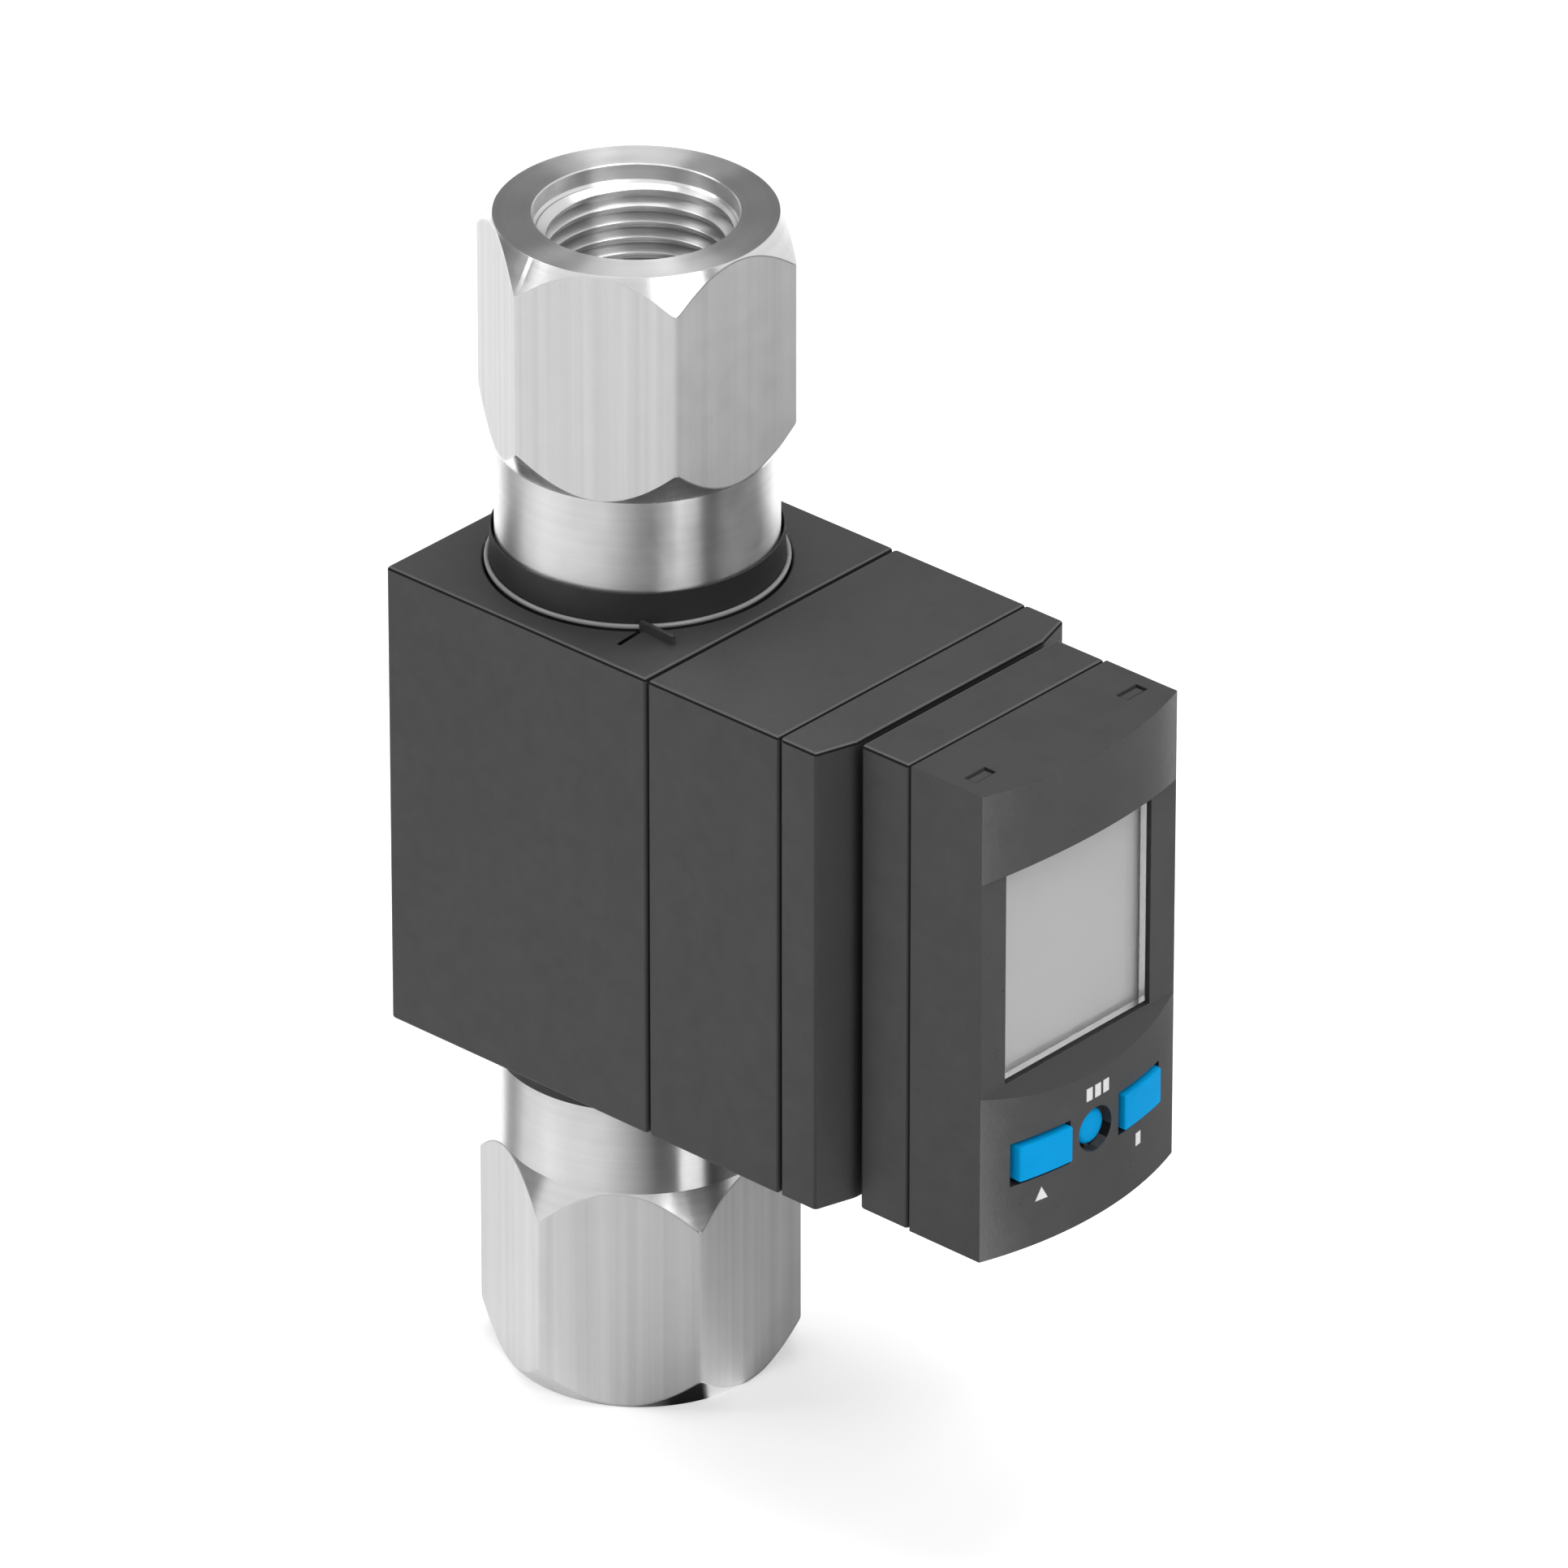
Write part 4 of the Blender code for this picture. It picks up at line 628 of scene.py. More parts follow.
class Blank:
    """A mesh on its way to becoming a piece of the object."""

    def __init__(self, name: str, mesh: bpy.types.Mesh) -> None:
        """Puts a mesh into the scene.

        Args:
            name: The piece's name.
            mesh: Its mesh, already in place.
        """
        self.obj = bpy.data.objects.new(name, mesh)
        bpy.context.scene.collection.objects.link(self.obj)

    @classmethod
    def from_cage(cls, name: str, cage: bmesh.types.BMesh) -> "Blank":
        """Makes a blank of a closed cage.

        Args:
            name: The piece's name.
            cage: The cage, which is freed.

        Returns:
            The blank, its doubles merged and its faces outwards.
        """
        bmesh.ops.remove_doubles(cage, verts=cage.verts, dist=MERGE_DISTANCE)
        bmesh.ops.dissolve_degenerate(cage, edges=cage.edges, dist=MERGE_DISTANCE)
        on_axis = [edge for edge in cage.edges if edge.is_wire]
        bmesh.ops.delete(cage, geom=on_axis, context="EDGES")
        bmesh.ops.recalc_face_normals(cage, faces=cage.faces)
        mesh = bpy.data.meshes.new(name)
        cage.to_mesh(mesh)
        cage.free()
        return cls(name, mesh)

    @classmethod
    def from_node(cls, name: str) -> "Blank":
        """Makes a blank of a CAD node: a merged copy whose flat faces are whole again.

        Args:
            name: The node's name.

        Returns:
            The blank.
        """
        cage = bmesh.new()
        cage.from_mesh(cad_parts[name].data)
        bmesh.ops.remove_doubles(cage, verts=cage.verts, dist=MERGE_DISTANCE)
        bmesh.ops.dissolve_limit(
            cage, angle_limit=FLAT_ANGLE, verts=cage.verts, edges=cage.edges
        )
        return cls.from_cage(name + "_piece", cage)

    @classmethod
    def lofted(
        cls,
        name: str,
        rows: Sequence[Row],
        angles: Sequence[float],
        place: Matrix,
        bands: Sequence[int] | None = None,
    ) -> "Blank":
        """Makes a blank of rows that run round an axis and close on themselves.

        Args:
            name: The piece's name.
            rows: A function for each row from an angle to a radius and a height.
            angles: The angles of the columns.
            place: What carries the loft from the Z axis to its place.
            bands: The finish number of each band from a row to the next.

        Returns:
            The blank.
        """
        cage = bmesh.new()
        rings = []
        for row in rows:
            ring = []
            for angle in angles:
                radius, height = row(angle)
                point = (radius * math.cos(angle), radius * math.sin(angle), height)
                ring.append(cage.verts.new(place @ Vector(point)))
            rings.append(ring)
        for number, ring in enumerate(rings):
            bridge(cage, ring, rings[(number + 1) % len(rings)], bands[number] if bands else 0)
        return cls.from_cage(name, cage)

    @classmethod
    def turned(
        cls, name: str, profile: Profile, place: Matrix, steps: int = FINE_STEPS
    ) -> "Blank":
        """Makes a blank of a closed profile turned round an axis.

        Args:
            name: The piece's name.
            profile: Points of radius and height, in order round the section.
            place: What carries it from the Z axis to its place.
            steps: The number of columns.

        Returns:
            The blank.
        """
        rows = [lambda _angle, point=point: point for point in profile]
        angles = [FULL_TURN * i / steps for i in range(steps)]
        return cls.lofted(name, rows, angles, place)

    @classmethod
    def prism(
        cls, name: str, outline: Profile, low: float, high: float, place: Matrix
    ) -> "Blank":
        """Makes a blank of a flat outline drawn out along an axis.

        Args:
            name: The piece's name.
            outline: Points in order round the section.
            low: Where it starts along the axis.
            high: Where it ends.
            place: What carries it from the Z axis to its place.

        Returns:
            The blank.
        """
        cage = bmesh.new()
        ends = [
            [cage.verts.new(place @ Vector((x, y, height))) for x, y in outline]
            for height in (low, high)
        ]
        for end in ends:
            cage.faces.new(end)
        bridge(cage, *ends, 0)
        return cls.from_cage(name, cage)

    def _settle(self) -> "Blank":
        """Turns the blank's modifiers into plain mesh.

        Returns:
            The blank.
        """
        graph = bpy.context.evaluated_depsgraph_get()
        mesh = bpy.data.meshes.new_from_object(
            self.obj.evaluated_get(graph), preserve_all_data_layers=True, depsgraph=graph
        )
        self.obj.modifiers.clear()
        self.obj.data = mesh
        return self

    def _combine(self, operation: str, tools: "Sequence[Blank]") -> "Blank":
        """Works the blank with other blanks, which are used up.

        Args:
            operation: DIFFERENCE or UNION.
            tools: The other blanks.

        Returns:
            The blank.
        """
        for tool in tools:
            step = self.obj.modifiers.new(tool.obj.name, "BOOLEAN")
            step.operation = operation
            step.solver = "EXACT"
            step.object = tool.obj
        self._settle()
        for tool in tools:
            tool.scrap()
        return self

    def scrap(self) -> None:
        """Takes the blank out of the scene."""
        bpy.data.objects.remove(self.obj, do_unlink=True)

    def cut(self, *tools: "Blank") -> "Blank":
        """Cuts the blank with other blanks, which are used up."""
        return self._combine("DIFFERENCE", tools)

    def join(self, *others: "Blank") -> "Blank":
        """Joins other blanks to it, which are used up."""
        return self._combine("UNION", others)

    def soften(self, width: float, segments: int) -> "Blank":
        """Rounds the blank's sharp edges.

        Args:
            width: The rounding's width.
            segments: Its number of steps.

        Returns:
            The blank.
        """
        bevel = self.obj.modifiers.new("rounding", "BEVEL")
        bevel.width = width
        bevel.segments = segments
        bevel.limit_method = "ANGLE"
        bevel.angle_limit = SHARP_ANGLE
        return self._settle()

    def shade(self, sharp_angle: float = SHARP_ANGLE) -> "Blank":
        """Shades round forms smooth, and keeps creases between wide faces crisp.

        Args:
            sharp_angle: What meets at more than this is always crisp.

        Returns:
            The blank.
        """
        cage = bmesh.new()
        cage.from_mesh(self.obj.data)
        for face in cage.faces:
            face.smooth = True
        for edge in cage.edges:
            angle = edge.calc_face_angle(math.pi)
            wide = all(face.calc_area() > WIDE_FACE for face in edge.link_faces)
            edge.smooth = angle < sharp_angle and not (wide and angle > CREASE_ANGLE)
        cage.to_mesh(self.obj.data)
        cage.free()
        weighted = self.obj.modifiers.new("normals", "WEIGHTED_NORMAL")
        weighted.keep_sharp = True
        weighted.weight = 100
        return self._settle()

    def mark_lit_and_shaded_brims(self) -> "Blank":
        """Numbers the narrow faces of roundings for painted light: a painted highlight where they
        look up, painted shade where they look more aside.

        Returns:
            The blank.
        """
        mesh = self.obj.data
        for face in mesh.polygons:
            corners = [mesh.vertices[index].co for index in face.vertices]
            longest = max((a - b).length for a, b in zip(corners, corners[1:] + corners[:1]))
            level = face.normal.z
            if face.area < BRIM_WIDTH * longest and BRIM_LOW < level < BRIM_HIGH:
                # Looking up gets the painted highlight, looking aside the painted shade.
                above = level > BRIM_LEVEL
                face.material_index = Region.BRIM_ABOVE if above else Region.BRIM_ASIDE
        return self

    def mark_front_painted_light(self) -> "Blank":
        """Numbers the faces that look forwards, except the narrow ones of roundings, for painted
        light: a lighter copy of the head's black.

        Returns:
            The blank.
        """
        for face in self.obj.data.polygons:
            if face.material_index == Region.WALL and -face.normal.y > FRONT_FACING:
                face.material_index = Region.FRONT
        return self

    def finish(self, berth: Berth, *finishes: Finish) -> bpy.types.Object:
        """Makes the blank a piece of the object.

        Args:
            berth: Where the piece belongs.
            *finishes: Its finishes, in the order of the faces' numbers.

        Returns:
            The piece.
        """
        slots = self.obj.data.materials
        for number, finish in enumerate(finishes):
            if number < len(slots):
                slots[number] = finish.material()
            else:
                slots.append(finish.material())
        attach(self.obj, berth.body)
        if berth.nodes:
            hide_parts(*berth.nodes)
        log.info("built %s: %d faces", self.obj.name, len(self.obj.data.polygons))
        return self.obj


def refine(name: str, slot: str, finish: Finish, sharp_angle: float = SHARP_ANGLE) -> None:
    """Builds a piece of the housing that keeps its CAD shape, with its round forms smooth.

    Args:
        name: Its CAD node.
        slot: Its material slot.
        finish: Its finish.
        sharp_angle: What meets at more than this is crisp.
    """
    blank = Blank.from_node(name).shade(sharp_angle)
    blank.finish(Berth("housing", slot, (name,)), finish)


class Recipe:
    """A Geometry Nodes tree with named inputs for its sizes."""

    KINDS = {float: "NodeSocketFloat", int: "NodeSocketInt", str: "NodeSocketObject"}

    def __init__(self, name: str, sizes: dict[str, type]) -> None:
        """Starts the tree.

        Args:
            name: The tree's name.
            sizes: The type of each named input; str stands for an object.
        """
        tree = bpy.data.node_groups.new(name, "GeometryNodeTree")
        tree.interface.new_socket("Geometry", in_out="OUTPUT", socket_type="NodeSocketGeometry")
        for label, kind in sizes.items():
            tree.interface.new_socket(label, in_out="INPUT", socket_type=self.KINDS[kind])
        tree.interface.new_socket("Finish", in_out="INPUT", socket_type="NodeSocketMaterial")
        self.sheet = NodeSheet(tree)
        self.given = self.sheet.node("NodeGroupInput").outputs

    def end(self, geometry: Socket) -> "Recipe":
        """Ends the tree in real, dressed geometry.

        Args:
            geometry: What the tree has made.

        Returns:
            The recipe.
        """
        real = self.sheet.node("GeometryNodeRealizeInstances", {0: geometry}).outputs[0]
        dressed = self.sheet.node(
            "GeometryNodeSetMaterial", {"Geometry": real, "Material": self.given["Finish"]}
        )
        self.sheet.node("NodeGroupOutput", {0: dressed.outputs[0]})
        return self

    def end_in_copies(self, points: Socket) -> "Recipe":
        """Ends the tree in a copy of its Form on each point.

        Args:
            points: The points.

        Returns:
            The recipe.
        """
        form = self.sheet.node("GeometryNodeObjectInfo", {"Object": self.given["Form"]})
        copies = self.sheet.node(
            "GeometryNodeInstanceOnPoints",
            {"Points": points, "Instance": form.outputs["Geometry"]},
        )
        return self.end(copies.outputs[0])

    def make(self, name: str, finish: Finish, sizes: dict[str, Any]) -> Blank:
        """Runs the tree.

        Args:
            name: The name of what it makes.
            finish: Its finish.
            sizes: A value for each named input.

        Returns:
            The result as a plain blank.
        """
        blank = Blank(name, bpy.data.meshes.new(name))
        modifier = blank.obj.modifiers.new("recipe", "NODES")
        modifier.node_group = self.sheet.tree
        values = {**sizes, "Finish": finish.material()}
        for socket in self.sheet.tree.interface.items_tree:
            if socket.in_out == "INPUT":
                modifier[socket.identifier] = values[socket.name]
        return blank._settle()


@functools.cache
def thread_recipe() -> Recipe:
    """Makes the tree of a thread's ridge: a rounded tooth led along a helix, fading at its ends.

    Returns:
        The tree.
    """
    sizes = {"Radius": float, "Pitch": float, "Turns": float, "Base": float, "Crest": float,
             "Height": float, "Lean": float, "Fade": float, "Rounding": float}
    recipe = Recipe("thread ridge", sizes)
    sheet, given = recipe.sheet, recipe.given
    rise = sheet.math("MULTIPLY", given["Pitch"], given["Turns"])
    helix = sheet.node(
        "GeometryNodeCurveSpiral",
        {"Resolution": THREAD_STEPS, "Rotations": given["Turns"],
         "Start Radius": given["Radius"], "End Radius": given["Radius"], "Height": rise},
    )
    upright = sheet.node("GeometryNodeSetCurveNormal", {0: helix.outputs[0]}, mode="Z_UP")
    tooth = sheet.node(
        "GeometryNodeCurvePrimitiveQuadrilateral",
        {"Height": given["Height"], "Bottom Width": given["Base"], "Top Width": given["Crest"],
         "Offset": 0.0},
        mode="TRAPEZOID",
    )
    lift = sheet.node(
        "ShaderNodeCombineXYZ", {1: sheet.math("MULTIPLY", given["Height"], 0.5)}
    )
    seated = sheet.node(
        "GeometryNodeTransform", {"Geometry": tooth.outputs[0], "Translation": lift.outputs[0]}
    )
    rounded = sheet.node(
        "GeometryNodeFilletCurve",
        {"Curve": seated.outputs[0], "Radius": given["Rounding"], "Count": 3},
        mode="POLY",
    )
    lean = sheet.node("ShaderNodeCombineXYZ", {2: given["Lean"]})
    leant = sheet.node(
        "GeometryNodeTransform", {"Geometry": rounded.outputs[0], "Rotation": lean.outputs[0]}
    )
    done = sheet.node("GeometryNodeSplineParameter").outputs["Factor"]
    from_end = sheet.math("MINIMUM", done, sheet.math("SUBTRACT", 1.0, done))
    fade = sheet.node(
        "ShaderNodeMapRange", {0: from_end, 1: 0.0, 2: given["Fade"], 3: THREAD_TIP}
    )
    ridge = sheet.node(
        "GeometryNodeCurveToMesh",
        {"Curve": upright.outputs[0], "Profile Curve": leant.outputs[0],
         "Scale": fade.outputs[0], "Fill Caps": True},
    )
    return recipe.end(ridge.outputs[0])


@dataclass(frozen=True)
class Thread:
    """A thread's ridge, led along a helix about Z."""

    root_radius: float
    pitch: float
    base: float
    crest: float
    height: float
    rounding: float
    outside: bool
    run_out: float = 0.6

    def ridge(self, name: str, low: float, high: float, place: Matrix, finish: Finish) -> Blank:
        """Makes the ridge.

        Args:
            name: Its name.
            low: Where it starts along the axis.
            high: Where it ends.
            place: What carries it from the Z axis to its place.
            finish: Its finish.

        Returns:
            The blank.
        """
        turns = (high - low) / self.pitch
        sizes = {"Radius": self.root_radius, "Pitch": self.pitch, "Turns": turns,
                 "Base": self.base, "Crest": self.crest, "Height": self.height,
                 "Lean": math.radians(90 if self.outside else -90),
                 "Fade": self.run_out / turns, "Rounding": self.rounding}
        blank = thread_recipe().make(name, finish, sizes)
        blank.obj.data.transform(place @ Matrix.Translation((0.0, 0.0, low)))
        return blank


@dataclass(frozen=True)
class Fitting:
    """A stainless fitting: threaded mouth, hexagon, collar and a spigot that seals in the tube."""

    name: str
    place: Matrix
    across_flats: float = 0.0300
    hex_length: float = 0.0262
    corner_turn: float = math.radians(-4.0)
    face_radius: float = 0.0149
    upper_slope: float = math.tan(math.radians(58.0))
    lower_slope: float = math.tan(math.radians(61.0))
    collar_radius: float = 0.01495
    shoulder: float = -0.0423
    spigot_radius: float = 0.0099
    foot: float = -0.0533
    groove_radius: float = 0.0082
    groove_low: float = -0.0503
    groove_high: float = -0.0479
    flow_radius: float = 0.0070
    mouth_radius: float = 0.01075
    mouth_depth: float = 0.0018
    thread_depth: float = 0.0160
    bore_cone: float = 0.0020
    edge: float = 0.00012
    corner_sharpness: float = 90.0
    sharp_angle: float = math.radians(15.0)
    thread: Thread = Thread(
        root_radius=0.0104775, pitch=0.0018143, base=0.00168, crest=0.00042,
        height=0.001162, rounding=0.00012, outside=False,
    )

    def hexagon(self, angle: float) -> float:
        """Finds the hexagon's radius at an angle, with a slight rounding at its corners.

        Args:
            angle: The angle about the pipe.

        Returns:
            The radius.
        """
        total = 0.0
        for side in range(6):
            normal = self.corner_turn + math.radians(60 * side + 30)
            total += max(math.cos(angle - normal), 0.0) ** self.corner_sharpness
        return self.across_flats / 2 * total ** (-1 / self.corner_sharpness)

    def columns(self) -> list[float]:
        """Sets out the columns, which stand close near the corners.

        Returns:
            Their angles.
        """
        from_corner = [0, 0.2, 0.45, 0.8, 1.3, 2.0, 3.0, 4.5, 6.5, 9, 12, 15, 18, 21, 24, 27, 30]
        offsets = [-x for x in reversed(from_corner[1:-1])] + from_corner
        return [
            self.corner_turn + math.radians(60 * corner + offset)
            for corner in range(6)
            for offset in offsets
        ]

    def crease(self, angle: float, from_flat: float) -> tuple[float, float]:
        """Returns a point of the upper chamfer's crease, or of the cone this far inside it."""
        radius = self.hexagon(angle) - from_flat
        return radius, -(radius - self.face_radius) * self.upper_slope

    def lower_crease(self, angle: float, from_flat: float) -> tuple[float, float]:
        """Returns a point of the lower chamfer's crease, or of the cone this far inside it."""
        radius = self.hexagon(angle) - from_flat
        return radius, (radius - self.collar_radius) * self.lower_slope - self.hex_length

    def outer_rows(self) -> list[tuple[Row, Band]]:
        """Sets out the hexagon's rows.

        Returns:
            Each row with how the band below it is worked.
        """
        edge = self.edge

        def flat_above(angle: float) -> tuple[float, float]:
            """Returns where a flat starts, below the upper chamfer's crease."""
            return self.hexagon(angle), self.crease(angle, 0.0)[1] - edge

        def flat_below(angle: float) -> tuple[float, float]:
            """Returns where a flat ends, above the lower chamfer's crease."""
            return self.hexagon(angle), self.lower_crease(angle, 0.0)[1] + edge

        return [
            (lambda _angle: (self.face_radius - edge / 4, 0.0), Band.TURNED),
            (lambda _angle: (self.face_radius, -edge / 4), Band.CHAMFERED),
            (lambda angle: self.crease(angle, edge / 4), Band.TURNED),
            (flat_above, Band.MILLED),
            (flat_below, Band.TURNED),
            (lambda angle: self.lower_crease(angle, edge / 4), Band.CHAMFERED),
        ]

    def turned_rows(self) -> list[tuple[Row, Band]]:
        """Sets out the rows from the collar round the spigot and back up the bore.

        Returns:
            Each row with how the band after it is worked.
        """
        edge = self.edge
        root = self.thread.root_radius
        sections = (
            (Band.TURNED, [
                (self.collar_radius, -self.hex_length),
                (self.collar_radius, self.shoulder + edge),
                (self.collar_radius - edge, self.shoulder),
                (self.spigot_radius, self.shoulder),
                (self.spigot_radius, self.groove_high),
                (self.groove_radius, self.groove_high),
                (self.groove_radius, self.groove_low),
                (self.spigot_radius, self.groove_low),
                (self.spigot_radius, self.foot + 3 * edge),
                (self.spigot_radius - 2 * edge, self.foot),
            ]),
            (Band.BORED, [
                (self.flow_radius, self.foot),
                (self.flow_radius, -self.thread_depth - self.bore_cone),
                (self.flow_radius + self.bore_cone, -self.thread_depth),
                (root, -self.thread_depth),
                (root, -self.mouth_depth - (self.mouth_radius - root)),
                (self.mouth_radius, -self.mouth_depth),
            ]),
            (Band.TURNED, [(self.mouth_radius, -edge)]),
            (Band.FACED, [(self.mouth_radius + edge, 0.0)]),
        )
        return [
            ((lambda _angle, point=point: point), band)
            for band, points in sections
            for point in points
        ]

    def build(self) -> None:
        """Builds the fitting and the ridge of its thread."""
        rows = self.outer_rows() + self.turned_rows()
        blank = Blank.lofted(
            self.name + "_turned",
            [row for row, _band in rows],
            self.columns(),
            self.place,
            [band for _row, band in rows],
        )
        berth = Berth("housing", "stainless", (self.name,))
        # The faced end's darker steel is painted shade.
        steels = (TURNED_STEEL, MILLED_STEEL, BORED_STEEL, CHAMFER_STEEL, FACED_STEEL_PAINTED_SHADE)
        blank.shade(self.sharp_angle).finish(berth, *steels)
        low = -self.thread_depth + self.thread.pitch / 2
        high = -self.mouth_depth
        ridge = self.thread.ridge(self.name + "_thread", low, high, self.place, BORED_STEEL)
        ridge.shade().finish(Berth("housing", "stainless"), BORED_STEEL)


@dataclass(frozen=True)
class NeckRing:
    """The black ring round a collar's foot."""

    name: str
    place: Matrix
    bore: float = 0.01525
    radius: float = 0.01575
    wall_foot: float = 0.01552
    wall_top: float = 0.01542
    rise: float = 0.0039
    low: float = -0.0032
    lip_top: float = -0.0022
    lip_bore: float = 0.01305
    edge: float = 0.00009
    bead_radius: float = 0.01578
    bead_section: float = 0.00027
    bead_height: float = 0.00022

    def build_ring(self) -> None:
        """Builds the ring, which narrows towards its rounded rim."""
        edge = self.edge
        profile = [
            *arc(self.wall_top - edge, self.rise - edge, edge, math.pi / 8, 5),
            (self.bore + edge / 4, self.rise),
            (self.bore, self.rise - edge / 4),
            (self.bore, self.lip_top),
            (self.lip_bore, self.lip_top),
            (self.lip_bore, self.low),
            (self.radius, self.low),
            (self.radius, 0.0),
            (self.wall_foot, self.bead_height),
        ]
        blank = Blank.turned(self.name + "_turned", profile, self.place)
        blank.shade().finish(Berth("housing", "black_rubber", (self.name,)), RUBBER)

    def build_bead(self) -> None:
        """Builds the glossy bead at the ring's foot, whose light grey is a painted highlight."""
        section = arc(self.bead_radius, self.bead_height, self.bead_section, FULL_TURN / 16, 16)
        blank = Blank.turned(self.name + "_bead", section, self.place)
        blank.shade().finish(Berth("housing", "black_rubber"), BEAD_PAINTED_HIGHLIGHT)

    def build(self) -> None:
        """Builds the ring and the bead round it."""
        self.build_ring()
        self.build_bead()


def along(axis: Axis, place: tuple[float, float, float]) -> Matrix:
    """Returns what carries a form from the Z axis to an axis at a place."""
    return Matrix.Translation(place) @ axis.matrix()


@functools.cache
def grid_recipe() -> Recipe:
    """Makes the tree that sets copies of a form on the points of a grid in X and Z.

    Returns:
        The tree.
    """
    sizes = {"Form": str, "Width": float, "Height": float, "Columns": int, "Rows": int}
    recipe = Recipe("form on a grid", sizes)
    sheet, given = recipe.sheet, recipe.given
    grid = sheet.node(
        "GeometryNodeMeshGrid",
        {"Size X": given["Width"], "Size Y": given["Height"],
         "Vertices X": given["Columns"], "Vertices Y": given["Rows"]},
    )
    upright = sheet.node(
        "GeometryNodeTransform",
        {"Geometry": grid.outputs[0], "Rotation": (math.radians(90), 0.0, 0.0)},
    )
    return recipe.end_in_copies(upright.outputs[0])


@functools.cache
def circle_recipe() -> Recipe:
    """Makes the tree that sets copies of a form on a circle round X and one in its middle.

    Returns:
        The tree.
    """
    sizes = {"Form": str, "Radius": float, "Count": int, "Turn": float}
    recipe = Recipe("form on a circle", sizes)
    sheet, given = recipe.sheet, recipe.given
    circle = sheet.node(
        "GeometryNodeMeshCircle", {"Vertices": given["Count"], "Radius": given["Radius"]}
    )
    quarter = math.radians(90)
    turn = sheet.node("ShaderNodeCombineXYZ", {0: quarter, 1: given["Turn"], 2: quarter})
    upright = sheet.node(
        "GeometryNodeTransform", {"Geometry": circle.outputs[0], "Rotation": turn.outputs[0]}
    )
    middle = sheet.node("GeometryNodeMeshLine", {"Count": 1})
    points = sheet.node("GeometryNodeJoinGeometry", {0: upright.outputs[0]})
    sheet.tree.links.new(middle.outputs[0], points.inputs[0])
    return recipe.end_in_copies(points.outputs[0])


